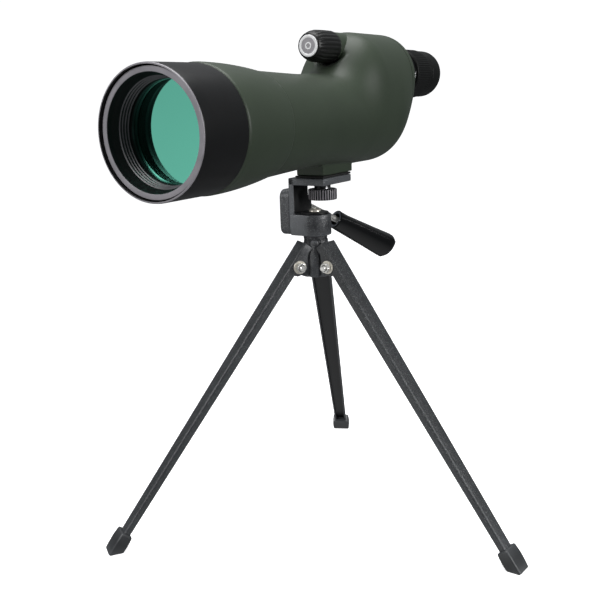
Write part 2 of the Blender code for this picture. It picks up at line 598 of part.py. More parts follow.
def washer_mesh(y0, y1, ri, ro, n=20):
    bm = bmesh.new()
    rows = []
    for y, r in ((y0, ri), (y0, ro), (y1, ro), (y1, ri)):
        rows.append([bm.verts.new((r * MM * math.cos(math.tau * j / n), y * MM,
                                   r * MM * math.sin(math.tau * j / n))) for j in range(n)])
    for i in range(4):
        a, b = rows[i], rows[(i + 1) % 4]
        for j in range(n):
            k = (j + 1) % n
            bm.faces.new((a[j], b[j], b[k], a[k]))
    return mesh_from(bm, "washer")


bolt_rows = [(-10.7, 3.2), (-9.9, 4.0), (-8.3, 4.0), (-8.2, 2.05), (14.6, 2.05), (15.2, 1.4)]
for leg, az in LEG_AZ.items():
    a = math.radians(az)
    side = math.pi if leg == "right" else 0.0
    at = Vector((PIVOT_R * math.cos(a), PIVOT_R * math.sin(a), PIVOT_H))
    for part, me in (("bolt", round_bar(bolt_rows)), ("nut", washer_mesh(9.3, 12.6, 2.6, 3.8, 6)),
                     ("washer", washer_mesh(8.1, 9.0, 2.35, 4.9, 14))):
        ob = add("pivot_%s_%s" % (part, leg), me, STEEL, "tripod", at)
        ob.rotation_euler = (0, 0, a + side)


# ------------------------------------------------------------------------ legs
LEG_LEN = PIVOT_H / math.cos(SPLAY) / MM      # pivot height to table along the leg
LEG_W1, LEG_D1 = 10.2, 4.7                    # channel width and depth at the foot


def channel_section(width, depth, wall, x_mid, c=1.6):
    """U outline, web outside (+x), open side inside (-x); local x / y in mm."""
    xo, xi, w = x_mid + depth / 2, x_mid - depth / 2, width / 2
    return [(xi, w), (xo - c, w), (xo - 0.4 * c, w - 0.4 * c), (xo, w - c), (xo, -w + c),
            (xo - 0.4 * c, -w + 0.4 * c), (xo - c, -w), (xi, -w), (xi, -w + wall), (xo - wall, -w + wall),
            (xo - wall, w - wall), (xi, w - wall)]


def leg_mesh(name):
    """Pressed channel, tapering to the foot, with an ear on each flange round the pivot."""
    loops = []
    top, bottom = 17.0, -(LEG_LEN - 8.0)
    for h, ear in ((top, 0.0), (7.5, 0.0), (4.0, 4.4), (-4.0, 4.4), (-7.5, 0.0), (bottom, 0.0)):
        q = (top - h) / (top - bottom)
        w, d = 16.2 + (LEG_W1 - 16.2) * q, 7.0 + (LEG_D1 - 7.0) * q
        s = channel_section(w, d + ear, 1.2, (LEG_OFF / MM) - ear / 2)
        loops.append([(x * MM, y * MM, h * MM) for x, y in s])
    return loft(name, loops)


for leg in LEG_AZ:
    nm = "leg_" + leg
    ob = add_local(nm, leg_mesh(nm), CAST, nm)
    hole = turned(nm + "_hole", [(0, 12), (2.35, 12), (2.35, -12), (0, -12)], None, nm,
                  BODIES[nm].location, "Y", 12, cutter=True)
    hole.location = (0, 0, 0)
    hole.rotation_euler = (-math.pi / 2, 0, 0)
    boolean(ob, hole)
    # rubber foot: a tapered block pushed over the leg's end, cut flat at the table
    bm = bmesh.new()
    x_mid = LEG_OFF
    rows = ((-(LEG_LEN - 13.5), 7.2, 4.4), (-(LEG_LEN - 6.0), 7.6, 4.8), (-(LEG_LEN + 4.5), 7.0, 4.6))
    loops = []
    for h, hw, hd in rows:
        c = 1.3
        o = [(-hd, hw - c), (-hd, -hw + c), (-hd + c, -hw), (hd - c, -hw), (hd, -hw + c), (hd, hw - c),
             (hd - c, hw), (-hd + c, hw)]
        loops.append([(x_mid + x * MM, y * MM, h * MM) for x, y in o])
    fm = loft("foot_" + leg, loops)
    bm.from_mesh(fm)
    up = Matrix.LocRotScale(None, BODIES[nm].rotation_euler, None).to_3x3().inverted() @ Vector((0, 0, 1))
    ground = up * (-PIVOT_H)
    geom = bm.verts[:] + bm.edges[:] + bm.faces[:]
    cut = bmesh.ops.bisect_plane(bm, geom=geom, plane_co=ground, plane_no=up, clear_inner=True)
    bmesh.ops.holes_fill(bm, edges=[e for e in cut["geom_cut"] if isinstance(e, bmesh.types.BMEdge)], sides=0)
    foot = add_local("foot_" + leg, mesh_from(bm, "foot_" + leg), RUBBER, nm)
    sock = []
    for h, w, d in ((-(LEG_LEN - 30.0), LEG_W1 + 1.1, LEG_D1 + 0.8), (-(LEG_LEN - 7.7), LEG_W1 + 0.6, LEG_D1 + 0.6)):
        sock.append([(LEG_OFF + x * MM, y * MM, h * MM) for x, y in
                     ((d / 2, w / 2), (-d / 2, w / 2), (-d / 2, -w / 2), (d / 2, -w / 2))])
    sc = add_local("foot_socket_" + leg, loft("foot_socket_" + leg, sock), None, nm, cutter=True)
    boolean(foot, sc)

for ob in COLL.objects:
    if ob.type == "MESH" and len(ob.data.polygons):
        smooth(ob)
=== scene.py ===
"""Looks of the spotting scope on its mini tabletop tripod.

Pieces are built in the pan-axis frame: millimetres from the tripod's pan axis,
+Z up from the table, the objective looking along -Y.
"""
import json
import math

import bmesh
import bpy
import numpy as np
from mathutils import Euler, Matrix, Vector

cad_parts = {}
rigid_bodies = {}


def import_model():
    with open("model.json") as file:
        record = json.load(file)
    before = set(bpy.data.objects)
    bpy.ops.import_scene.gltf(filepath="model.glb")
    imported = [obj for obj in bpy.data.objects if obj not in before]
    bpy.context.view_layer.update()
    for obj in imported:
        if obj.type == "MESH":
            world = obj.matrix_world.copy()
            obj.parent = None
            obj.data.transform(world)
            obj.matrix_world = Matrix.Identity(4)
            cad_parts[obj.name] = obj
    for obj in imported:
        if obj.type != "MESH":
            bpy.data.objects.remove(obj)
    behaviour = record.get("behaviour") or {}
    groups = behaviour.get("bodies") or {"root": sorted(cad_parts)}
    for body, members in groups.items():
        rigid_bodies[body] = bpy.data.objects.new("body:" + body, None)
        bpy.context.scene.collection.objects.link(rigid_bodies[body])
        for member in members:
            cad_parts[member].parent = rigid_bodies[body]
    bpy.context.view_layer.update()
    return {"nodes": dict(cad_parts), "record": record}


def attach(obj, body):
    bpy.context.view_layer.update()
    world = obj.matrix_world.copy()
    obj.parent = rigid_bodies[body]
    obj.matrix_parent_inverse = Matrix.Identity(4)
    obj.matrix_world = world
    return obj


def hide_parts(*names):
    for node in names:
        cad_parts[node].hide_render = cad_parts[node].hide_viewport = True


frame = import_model()

MM = 0.001
PAN = [j for j in frame["record"]["behaviour"]["joints"] if j["name"] == "pan"][0]["pos_m"]
PX, PY = PAN[0], PAN[1]


def W(x, y, z):
    return Vector((PX + x * MM, PY + y * MM, z * MM))


# =============================================================== materials
def new_mat(name):
    m = bpy.data.materials.new(name)
    m.use_nodes = True
    nt = m.node_tree
    return m, nt, nt.nodes["Principled BSDF"]


def ramp(nt, fac, stops):
    r = nt.nodes.new("ShaderNodeValToRGB")
    els = r.color_ramp.elements
    els[0].position, els[0].color = stops[0][0], (*stops[0][1], 1)
    els[1].position, els[1].color = stops[-1][0], (*stops[-1][1], 1)
    for p, c in stops[1:-1]:
        e = els.new(p)
        e.color = (*c, 1)
    nt.links.new(fac, r.inputs["Fac"])
    return r.outputs["Color"]


def noise(nt, scale, detail=3.0, rough=0.55, coord=None):
    n = nt.nodes.new("ShaderNodeTexNoise")
    n.inputs["Scale"].default_value = scale
    n.inputs["Detail"].default_value = detail
    n.inputs["Roughness"].default_value = rough
    nt.links.new(coord, n.inputs["Vector"])
    return n.outputs["Fac"]


def bump(nt, height, strength, dist, normal=None):
    b = nt.nodes.new("ShaderNodeBump")
    b.inputs["Strength"].default_value = strength
    b.inputs["Distance"].default_value = dist
    nt.links.new(height, b.inputs["Height"])
    if normal is not None:
        nt.links.new(normal, b.inputs["Normal"])
    return b.outputs["Normal"]


def mul(nt, a, k, add=0.0):
    m = nt.nodes.new("ShaderNodeMath")
    m.operation = "MULTIPLY_ADD"
    nt.links.new(a, m.inputs[0])
    m.inputs[1].default_value = k
    m.inputs[2].default_value = add
    return m.outputs[0]


def surface(name, dark, light, rough, vary=0.08, metal=0.0, grain=2500.0, bump_s=0.3, bump_d=0.00005,
            cloud=60.0, spec=0.5, coat=0.0, coat_rough=0.1, edge=None, speckle_and_glint=None, sheen=0.0):
    """General moulded or painted surface: clouded colour, grain bump, optional fine speckles whose bright top stop is a
    painted glint, and lighter edges that are painted edge highlights.
    """
    m, nt, b = new_mat(name)
    tc = nt.nodes.new("ShaderNodeTexCoord").outputs["Object"]
    big = noise(nt, cloud, 4.0, 0.6, tc)
    small = noise(nt, grain, 3.0, 0.6, tc)
    col = ramp(nt, big, [(0.3, dark), (0.7, light)])
    # fine speckles: the low stops are grain tone, a bright top stop paints glints
    if speckle_and_glint is not None:
        mx = nt.nodes.new("ShaderNodeMix")
        mx.data_type = "RGBA"
        speckle_glint_col = ramp(nt, small, speckle_and_glint)
        mx.inputs["Factor"].default_value = 0.5
        nt.links.new(col, mx.inputs["A"])
        nt.links.new(speckle_glint_col, mx.inputs["B"])
        col = mx.outputs["Result"]
    # lighter colour laid on sharp edges by pointiness: painted edge highlight
    if edge is not None:
        geo = nt.nodes.new("ShaderNodeNewGeometry")
        e = ramp(nt, geo.outputs["Pointiness"], [(0.515, (0, 0, 0)), (0.56, (1, 1, 1))])
        mx = nt.nodes.new("ShaderNodeMix")
        mx.data_type = "RGBA"
        nt.links.new(mul(nt, e, 0.6), mx.inputs["Factor"])
        nt.links.new(col, mx.inputs["A"])
        mx.inputs["B"].default_value = (*edge, 1)
        col = mx.outputs["Result"]
    nt.links.new(col, b.inputs["Base Color"])
    nt.links.new(mul(nt, small, vary * 2, rough - vary), b.inputs["Roughness"])
    b.inputs["Metallic"].default_value = metal
    b.inputs["Specular IOR Level"].default_value = spec
    b.inputs["Coat Weight"].default_value = coat
    b.inputs["Coat Roughness"].default_value = coat_rough
    if sheen:
        b.inputs["Sheen Weight"].default_value = sheen
        b.inputs["Sheen Roughness"].default_value = 0.5
    nt.links.new(bump(nt, small, bump_s, bump_d), b.inputs["Normal"])
    return m


MAT = {}
MAT["green"] = surface("green_rubber", (0.029, 0.042, 0.026), (0.034, 0.049, 0.030), 0.45, 0.03, grain=5200,
                       bump_s=0.22, bump_d=0.00003, cloud=25, spec=0.36, sheen=0.03)
MAT["satin"] = surface("satin_black", (0.0045, 0.0047, 0.005), (0.007, 0.0072, 0.0076), 0.34, 0.03,
                       grain=4200, bump_s=0.10, bump_d=0.00002, cloud=40, spec=0.32)
MAT["inner"] = surface("inner_black", (0.004, 0.004, 0.0042), (0.007, 0.007, 0.0074), 0.55, 0.05,
                       grain=3500, bump_s=0.15, bump_d=0.00002, cloud=50, spec=0.3)
# light grey on black satin front faces and knurl crests: painted reflection and painted highlight
MAT["lit_grey"] = surface("grey_painted_reflection", (0.22, 0.21, 0.23), (0.30, 0.285, 0.31), 0.42, 0.06, grain=4200, bump_s=0.15,
                     bump_d=0.00002, cloud=80)
# mid grey on the thread flanks that face the front: painted highlight
MAT["thread"] = surface("thread_flank_highlight", (0.085, 0.083, 0.090), (0.12, 0.117, 0.127), 0.38, 0.06, grain=4200,
                        bump_s=0.1, bump_d=0.00002, cloud=80)
# bright top stop of the fine speckles: painted glints on the crinkle paint; light edge colour: painted edge highlights
MAT["cast"] = surface("crinkle_casting", (0.013, 0.0145, 0.017), (0.021, 0.023, 0.026), 0.34, 0.12, metal=0.2,
                      grain=1350, bump_s=1.0, bump_d=0.00030, cloud=90, spec=0.8,
                      speckle_and_glint=[(0.44, (0.012, 0.013, 0.015)), (0.56, (0.038, 0.041, 0.045)),
                            (0.66, (0.34, 0.35, 0.37))], edge=(0.20, 0.21, 0.225))
# same painted glints and painted edge highlights on the legs
MAT["leg"] = surface("crinkle_steel", (0.018, 0.020, 0.022), (0.030, 0.032, 0.035), 0.36, 0.12, metal=0.2,
                     grain=1250, bump_s=1.0, bump_d=0.00030, cloud=70, spec=0.8,
                     speckle_and_glint=[(0.44, (0.012, 0.013, 0.014)), (0.56, (0.058, 0.061, 0.066)),
                           (0.67, (0.36, 0.37, 0.38))], edge=(0.07, 0.074, 0.08))
# darker copy of the casting for faces turned away from the light: painted shade on the arm's inner face, the platform
# underside and the knurl grooves
MAT["cast_shade"] = surface("casting_painted_shade", (0.006, 0.0065, 0.007), (0.010, 0.0105, 0.011), 0.5, 0.08, grain=2200,
                        bump_s=0.4, bump_d=0.0001, cloud=60, spec=0.35)
# darker copy of the leg finish: painted shade inside the leg channels; also the pan disc's own dark colour and the grip
# bore
MAT["dark_and_shade"] = surface("dark_parts_and_channel_shade", (0.005, 0.0055, 0.0065), (0.008, 0.0085, 0.010), 0.40, 0.04, grain=2600,
                        bump_s=0.15, bump_d=0.00004, cloud=60, spec=0.5)
MAT["rubber"] = surface("black_rubber", (0.0035, 0.0038, 0.0036), (0.0055, 0.006, 0.0057), 0.50, 0.07,
                        grain=2800, bump_s=0.3, bump_d=0.00006, cloud=60, spec=0.2)
# light edge colour on the rubber feet: painted highlight along their edges
MAT["foot"] = surface("foot_rubber", (0.014, 0.015, 0.0165), (0.022, 0.0235, 0.026), 0.38, 0.08, grain=1200,
                      bump_s=0.4, bump_d=0.0001, cloud=90, spec=0.55, edge=(0.10, 0.105, 0.11))
MAT["knob"] = surface("knob_rubber", (0.0045, 0.005, 0.0047), (0.007, 0.0075, 0.0072), 0.40, 0.05, grain=3600,
                      bump_s=0.2, bump_d=0.00004, cloud=60, spec=0.35)
MAT["gloss"] = surface("gloss_black", (0.003, 0.0034, 0.004), (0.005, 0.0055, 0.0062), 0.14, 0.03,
                       grain=900, bump_s=0.02, bump_d=0.00001, cloud=40, spec=0.28, coat=0.12, coat_rough=0.05)
# light blue-grey on the black grip's end face: painted highlight
MAT["grip_end_lit"] = surface("grip_end_painted_highlight", (0.10, 0.115, 0.14), (0.20, 0.22, 0.26), 0.30, 0.06, grain=2200,
                          bump_s=0.2, bump_d=0.00004, cloud=300, spec=0.6)
MAT["white"] = surface("cap_white", (0.88, 0.88, 0.89), (0.92, 0.92, 0.93), 0.34, 0.04, grain=3000,
                       bump_s=0.05, bump_d=0.00002, cloud=120)
MAT["lilac"] = surface("cap_lilac", (0.30, 0.29, 0.31), (0.36, 0.345, 0.37), 0.36, 0.05, grain=3000,
                       bump_s=0.08, bump_d=0.00002, cloud=120)
MAT["pad"] = surface("platform_rubber", (0.009, 0.009, 0.009), (0.015, 0.015, 0.015), 0.7, 0.1, grain=1400,
                     bump_s=0.6, bump_d=0.00015, cloud=200, spec=0.3)


def metal(name, dark, light, rough, scale=2000.0, stretch=(1, 1, 1), bump_s=0.08, metallic=1.0):
    m, nt, b = new_mat(name)
    tc = nt.nodes.new("ShaderNodeTexCoord").outputs["Object"]
    mp = nt.nodes.new("ShaderNodeMapping")
    mp.inputs["Scale"].default_value = stretch
    nt.links.new(tc, mp.inputs["Vector"])
    n = noise(nt, scale, 4.0, 0.6, mp.outputs["Vector"])
    c = noise(nt, 220.0, 3.0, 0.6, tc)
    nt.links.new(ramp(nt, c, [(0.3, dark), (0.7, light)]), b.inputs["Base Color"])
    nt.links.new(mul(nt, n, 0.16, rough - 0.08), b.inputs["Roughness"])
    b.inputs["Metallic"].default_value = metallic
    nt.links.new(bump(nt, n, bump_s, 0.00003), b.inputs["Normal"])
    return m


MAT["steel"] = metal("zinc_steel", (0.84, 0.83, 0.80), (0.95, 0.94, 0.91), 0.28, metallic=0.7)
MAT["washer"] = metal("washer_brass", (0.82, 0.77, 0.67), (0.95, 0.91, 0.82), 0.34, metallic=0.65)
MAT["brass"] = metal("turned_brass", (0.50, 0.38, 0.16), (0.68, 0.52, 0.25), 0.3)
MAT["dark_steel"] = metal("black_steel", (0.10, 0.10, 0.105), (0.18, 0.18, 0.185), 0.28)


def coated_glass(name, tint, deep, rough=0.03):
    """Multi-coated glass seen from outside: a green reflecting coat over dark depth."""
    m, nt, b = new_mat(name)
    tc = nt.nodes.new("ShaderNodeTexCoord").outputs["Object"]
    c = noise(nt, 14.0, 2.0, 0.5, tc)
    lw = nt.nodes.new("ShaderNodeLayerWeight")
    lw.inputs["Blend"].default_value = 0.35
    mx = nt.nodes.new("ShaderNodeMix")
    mx.data_type = "RGBA"
    nt.links.new(lw.outputs["Facing"], mx.inputs["Factor"])
    nt.links.new(ramp(nt, c, [(0.35, tint), (0.65, tuple(v * 0.92 for v in tint))]), mx.inputs["A"])
    mx.inputs["B"].default_value = (*deep, 1)
    nt.links.new(mx.outputs["Result"], b.inputs["Base Color"])
    n = noise(nt, 90.0, 2.0, 0.5, tc)
    nt.links.new(mul(nt, n, 0.02, rough), b.inputs["Roughness"])
    b.inputs["Metallic"].default_value = 1.0
    return m


MAT["lens"] = coated_glass("objective_coating", (0.125, 0.50, 0.38), (0.22, 0.64, 0.52), 0.02)


def clear_glass(name, tint):
    m, nt, b = new_mat(name)
    tc = nt.nodes.new("ShaderNodeTexCoord").outputs["Object"]
    c = noise(nt, 30.0, 2.0, 0.5, tc)
    nt.links.new(ramp(nt, c, [(0.3, tint), (0.7, tuple(v * 0.95 for v in tint))]), b.inputs["Base Color"])
    b.inputs["Roughness"].default_value = 0.03
    b.inputs["IOR"].default_value = 1.52
    b.inputs["Transmission Weight"].default_value = 0.85
    return m


MAT["glass"] = clear_glass("clear_optics", (0.62, 0.74, 0.72))
MAT["eye_glass"] = clear_glass("eye_optics", (0.30, 0.26, 0.42))


# ================================================================ builders
def finish_piece(bm, name, body, mats, replaces=(), angle=38.0, recalc=True):
    if recalc:
        bmesh.ops.recalc_face_normals(bm, faces=bm.faces)
    me = bpy.data.meshes.new(name)
    bm.to_mesh(me)
    bm.free()
    ob = bpy.data.objects.new(name, me)
    bpy.context.scene.collection.objects.link(ob)
    for k in (mats if isinstance(mats, (list, tuple)) else [mats]):
        me.materials.append(MAT[k])
    me.shade_smooth()
    me.set_sharp_from_angle(angle=math.radians(angle))
    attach(ob, body)
    if replaces:
        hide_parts(*([replaces] if isinstance(replaces, str) else replaces))
    return ob


def axis_matrix(origin, direction, roll_ref=None):
    """Matrix whose +Z runs along direction, placed at origin (mm, pan-axis frame)."""
    q = Vector(direction).normalized().to_track_quat("Z", "Y")
    return Matrix.LocRotScale(W(*origin), q, None)


AX = {"Z": Matrix.Identity(3), "Y": Matrix.Rotation(-math.pi / 2, 3, "X"), "X": Matrix.Rotation(math.pi / 2, 3, "Y")}


def place(origin, axis="Z"):
    """Frame whose +Z is the given axis; lengths along it are measured from origin."""
    return Matrix.LocRotScale(W(*origin), AX[axis].to_quaternion(), None)


def fillet(profile, r, n=4):
    """Round the corners of a polyline of (radius, height) by r mm, where there is room."""
    out = []
    m = len(profile)
    for i, (a, b) in enumerate(profile):
        if i in (0, m - 1):
            out.append((a, b))
            continue
        p0, p1, p2 = (Vector(profile[i - 1]), Vector((a, b)), Vector(profile[i + 1]))
        d0, d1 = p0 - p1, p2 - p1
        q = min(r, d0.length * 0.45, d1.length * 0.45)
        if q < 0.02 or d0.angle(d1) > math.radians(172):
            out.append((a, b))
            continue
        s, e = p1 + d0.normalized() * q, p1 + d1.normalized() * q
        for k in range(n + 1):
            t = k / n
            v = s * (1 - t) ** 2 + p1 * 2 * t * (1 - t) + e * t * t
            out.append((v.x, v.y))
    return out


def lathe_into(bm, profile, M, steps=96, closed=False, mod=None, mat_of=None, mat=0):
    """Turn a profile of (r, h) mm round M's +Z.  mod(theta, r, h) gives the new radius."""
    rings = []
    for i, (r, h) in enumerate(profile):
        if r < 1e-6:
            rings.append([bm.verts.new(M @ Vector((0, 0, h * MM)))])
            continue
        ring = []
        for j in range(steps):
            t = math.tau * j / steps
            q = mod(t, r, h) if mod else r
            ring.append(bm.verts.new(M @ Vector((q * math.cos(t) * MM, q * math.sin(t) * MM, h * MM))))
        rings.append(ring)
    pairs = list(zip(range(len(rings) - 1), range(1, len(rings))))
    if closed:
        pairs.append((len(rings) - 1, 0))
    for i, k in pairs:
        a, b = rings[i], rings[k]
        for j in range(steps):
            l = (j + 1) % steps
            if len(a) == 1 and len(b) == 1:
                break
            if len(a) == 1:
                f = bm.faces.new((a[0], b[j], b[l]))
            elif len(b) == 1:
                f = bm.faces.new((a[j], b[0], a[l]))
            else:
                f = bm.faces.new((a[j], b[j], b[l], a[l]))
            f.material_index = mat_of(i) if mat_of else mat
    return bm


def lathe(name, profile, origin, axis, body, mats, replaces=(), steps=96, closed=False, mod=None,
          round_r=0.25, mat_of=None, M=None, angle=38.0):
    bm = bmesh.new()
    pr = fillet(profile + [profile[0]], round_r)[:-1] if closed and round_r else (
        fillet(profile, round_r) if round_r else profile)
    lathe_into(bm, pr, M if M is not None else place(origin, axis), steps, closed, mod, mat_of)
    return finish_piece(bm, name, body, mats, replaces, angle)


def box_into(bm, lo, hi, bevel=0.6, seg=3, rot_z=0.0, mat=0):
    r = bmesh.ops.create_cube(bm, size=1.0)
    vs = r["verts"]
    size = [(b - a) * MM for a, b in zip(lo, hi)]
    mid = Vector([(a + b) / 2 for a, b in zip(lo, hi)])
    bmesh.ops.scale(bm, vec=size, verts=vs)
    R = Matrix.Rotation(rot_z, 3, "Z")
    if rot_z:
        bmesh.ops.rotate(bm, cent=(0, 0, 0), matrix=R, verts=vs)
        mid = R @ mid
    bmesh.ops.translate(bm, vec=W(*mid), verts=vs)
    es = list({e for v in vs for e in v.link_edges})
    fs = list({f for v in vs for f in v.link_faces})
    for f in fs:
        f.material_index = mat
    if bevel:
        bmesh.ops.bevel(bm, geom=es, offset=bevel * MM, segments=seg, profile=0.5, affect="EDGES")
    return bm


def prism_into(bm, pts, z0, z1, M, bevel=0.5, seg=3, mat=0):
    """Outline (mm) in M's XY plane extruded from z0 to z1 along M's +Z, with rounded ends."""
    f0 = bm.faces.new([bm.verts.new(M @ Vector((x * MM, y * MM, z0 * MM))) for x, y in pts])
    r = bmesh.ops.extrude_face_region(bm, geom=[f0])
    vs = [v for v in r["geom"] if isinstance(v, bmesh.types.BMVert)]
    bmesh.ops.translate(bm, vec=(M.to_3x3() @ Vector((0, 0, (z1 - z0) * MM))), verts=vs)
    top = [f for f in r["geom"] if isinstance(f, bmesh.types.BMFace)][0]
    es = list(f0.edges) + list(top.edges)
    fs = [f0, top] + [f for e in f0.edges for f in e.link_faces]
    for f in set(fs):
        f.material_index = mat
    if bevel:
        bmesh.ops.bevel(bm, geom=es, offset=bevel * MM, segments=seg, profile=0.5, affect="EDGES")
    return bm


def rounded_rect(x0, x1, y0, y1, r, n=5):
    pts = []
    for cx, cy, a0 in ((x1 - r, y1 - r, 0), (x0 + r, y1 - r, 90), (x0 + r, y0 + r, 180), (x1 - r, y0 + r, 270)):
        for k in range(n + 1):
            a = math.radians(a0 + 90.0 * k / n)
            pts.append((cx + r * math.cos(a), cy + r * math.sin(a)))
    return pts


def loft_into(bm, loops, cap0=True, cap1=True, mat=0, mat_rows=None):
    rows = [[bm.verts.new(p) for p in lp] for lp in loops]
    n = len(rows[0])
    for i, (a, b) in enumerate(zip(rows, rows[1:])):
        for j in range(n):
            k = (j + 1) % n
            f = bm.faces.new((a[j], a[k], b[k], b[j]))
            f.material_index = mat_rows(i, j) if mat_rows else mat
    if cap0:
        bm.faces.new(list(reversed(rows[0]))).material_index = mat_rows(0, 0) if mat_rows else mat
    if cap1:
        bm.faces.new(rows[-1]).material_index = mat_rows(len(rows) - 2, 0) if mat_rows else mat
    return rows


# ================================================================= dimensions
TUBE_H = 303.15
EYE_Z = TUBE_H + 33.1
KNOB_Z = TUBE_H + 52.0
TUBE, EYE, KNOB = (0, 0, TUBE_H), (0, 0, EYE_Z), (0, 0, KNOB_Z)


# ---------------------------------------------------------------- the housing
def blend_min(a, b, k):
    h = np.clip(0.5 + 0.5 * (b - a) / k, 0, 1)
    return b * (1 - h) + a * h - k * h * (1 - h)


def housing(x, y, z, cut=True):
    front, back = 34.9 - (y + 79.3) * 0.04216, 32.4 + (y + 20) * 0.0383
    r = 0.5 * (front + back + np.sqrt((front - back) ** 2 + 0.36))
    r = np.minimum(r, 34.7 + np.where(y < 0, 9.0, 0.0)) - 0.05
    t = np.clip((y - 73.7) / 40.4, 0, 0.999)
    tube = np.sqrt(x * x + z * z) - r * np.sqrt(1 - t * t)
    nose = np.minimum(y - 52.5, 0) * 1.12
    lobe = np.sqrt(x * x + (z - 28.9) ** 2 + nose * nose) - 34.4
    f = blend_min(tube, lobe, 22.3)
    seat = np.maximum(np.sqrt(x * x + (z - 52.0) ** 2) - 13.2, y - 27.4)
    f = -blend_min(-f, seat, 3.0)
    return -blend_min(-f, -(y - 106.2), 5.45) if cut else f


def section(y, offset=0.0, n=168, cut=True):
    ang = np.arange(n) * math.tau / n + 0.5 * math.tau / n
    zc = 14.0 * float(np.clip((y + 10) / 50, 0, 1))
    lo, hi = np.zeros(n), np.full(n, 80.0)
    for _ in range(34):
        m = (lo + hi) / 2
        inside = housing(m * np.cos(ang), np.full(n, float(y)), zc + m * np.sin(ang), cut) + offset < 0
        lo = np.where(inside, m, lo)
        hi = np.where(inside, hi, m)
    return [W(r * math.cos(a), y, zc + r * math.sin(a) + TUBE_H) for r, a in zip(lo, ang)]


def housing_bottom(x, y):
    """Height (mm above the table) of the housing's underside above the point x, y."""
    lo, hi = -60.0, 0.0
    for _ in range(34):
        m = (lo + hi) / 2
        if float(housing(np.float64(x), np.float64(y), np.float64(m))) > 0:
            lo = m
        else:
            hi = m
    return hi + TUBE_H


def spread(a, b, step):
    n = max(2, int(round((b - a) / step)))
    return [a + (b - a) * i / n for i in range(n + 1)]


bm = bmesh.new()
ys = [-79.3, -79.15] + spread(-78.8, -30, 4.0) + spread(-28, 20, 1.6)[0:] + spread(20.6, 32, 0.6) \
    + spread(33, 60, 1.5) + spread(62, 96.4, 1.3)
outer = [section(-79.3, 0.35)] + [section(y) for y in ys[1:]] + [section(97.0, 0.05), section(97.2, 0.4)]
inner = [section(y, 2.4, cut=False) for y in (97.2, 80, 60, 40, 20, 0, -30, -60, -79.3)]
rows = loft_into(bm, outer + inner, False, False, mat_rows=lambda i, j: 1 if i >= len(outer) - 1 else 0)
a, b = rows[-1], rows[0]
for j in range(len(a)):
    k = (j + 1) % len(a)
    bm.faces.new((a[j], a[k], b[k], b[j]))
# foot block under the housing, its top flaring into the shell
out2 = rounded_rect(-11.6, 11.6, -5.6, 38.0, 1.3, 5)
cx, cy = 0.0, 16.2
nrm = []
for i in range(len(out2)):
    p, q = Vector(out2[i - 1]), Vector(out2[(i + 1) % len(out2)])
    d = (q - p).normalized()
    nrm.append(Vector((d.y, -d.x)))
loops = []
for inset, z in ((0.7, 264.2), (0.2, 264.4), (0.0, 264.9)):
    loops.append([W(p[0] - n.x * inset, p[1] - n.y * inset, z) for p, n in zip(out2, nrm)])
F = 1.6
for k in range(0, 7):
    th = math.pi / 2 * k / 6
    off = F * (1 - math.cos(th))
    loops.append([W(p[0] + n.x * off, p[1] + n.y * off,
                    housing_bottom(p[0] + n.x * off, p[1] + n.y * off) - F * (1 - math.sin(th)) + 0.03)
                  for p, n in zip(out2, nrm)])
loft_into(bm, loops, True, False)
# boss behind the focus knob
lathe_into(bm, fillet([(10.0, 26.2), (10.6, 26.8), (10.6, 43.0)], 0.4), place(KNOB, "Y"), 96)
lathe_into(bm, [(6.0, 30.0), (6.0, 26.2), (10.0, 26.2)], place(KNOB, "Y"), 96)
finish_piece(bm, "housing_skin", "tilt", ["green", "inner"], "body_shell", 50)

# rear cover
bm = bmesh.new()
ys = [97.7] + spread(98.2, 106.19, 0.42)
loops = [section(97.5, 0.45)] + [section(y) for y in ys]
rows = loft_into(bm, loops, False, False)
last = rows[-1]
prev = last
ring = []
ctr = W(0, 106.2, EYE_Z)
for q in (0.0, 0.5, 1.0):
    cur = []
    for v in last:
        d = v.co - ctr
        u = Vector((d.x, 0, d.z)).normalized()
        hole = ctr + u * 17.2 * MM
        p = v.co.lerp(hole, q)
        p.y = W(0, 106.2, 0).y
        cur.append(bm.verts.new(p))
    for j in range(len(cur)):
        k = (j + 1) % len(cur)
        bm.faces.new((prev[j], prev[k], cur[k], cur[j]))
    prev = cur
deep = [bm.verts.new(v.co + Vector((0, -8.0 * MM, 0))) for v in prev]
for j in range(len(deep)):
    k = (j + 1) % len(deep)
    bm.faces.new((prev[j], prev[k], deep[k], deep[j]))
front = rows[0]
for j in range(len(deep)):
    k = (j + 1) % len(deep)
    bm.faces.new((deep[j], deep[k], front[k], front[j])).material_index = 1
finish_piece(bm, "rear_cover_skin", "tilt", ["green", "inner"], "rear_cover", 50)

# front bell
bell = [(39.5 - 4.2 * max(0.0, (y + 132.0) / 52.4) ** 1.9, y) for y in [-132.0 + 52.4 * i / 30 for i in range(31)]]
bell_prof = ([(32.3, -79.6), (34.9, -79.6), (bell[-1][0], -80.0)] + list(reversed(bell[:-1]))
             + [(39.45, -133.2), (39.25, -134.1), (38.6, -134.8), (37.4, -134.8), (37.4, -111.6), (32.3, -111.6)])
lathe("bell_skin", bell_prof, TUBE, "Y", "tilt", ["green"], "objective_bell", 168, closed=True,
      round_r=0.0)

# ------------------------------------------------------------ objective end
shade = [(38.85, -135.1), (38.9, -135.6), (38.9, -150.0), (38.9, -165.0), (38.9, -174.7), (38.8, -175.6),
         (38.45, -176.15), (38.2, -176.2), (37.75, -176.2), (37.6, -176.0), (37.6, -135.1)]
# front rim faces of the sunshade take the light grey: painted reflection
lathe("sunshade_skin", shade, TUBE, "Y", "sunshade", ["satin", "lit_grey"], "sunshade", 168,
      closed=True, round_r=0.0, mat_of=lambda i: 1 if i in (5, 6, 7) else 0)

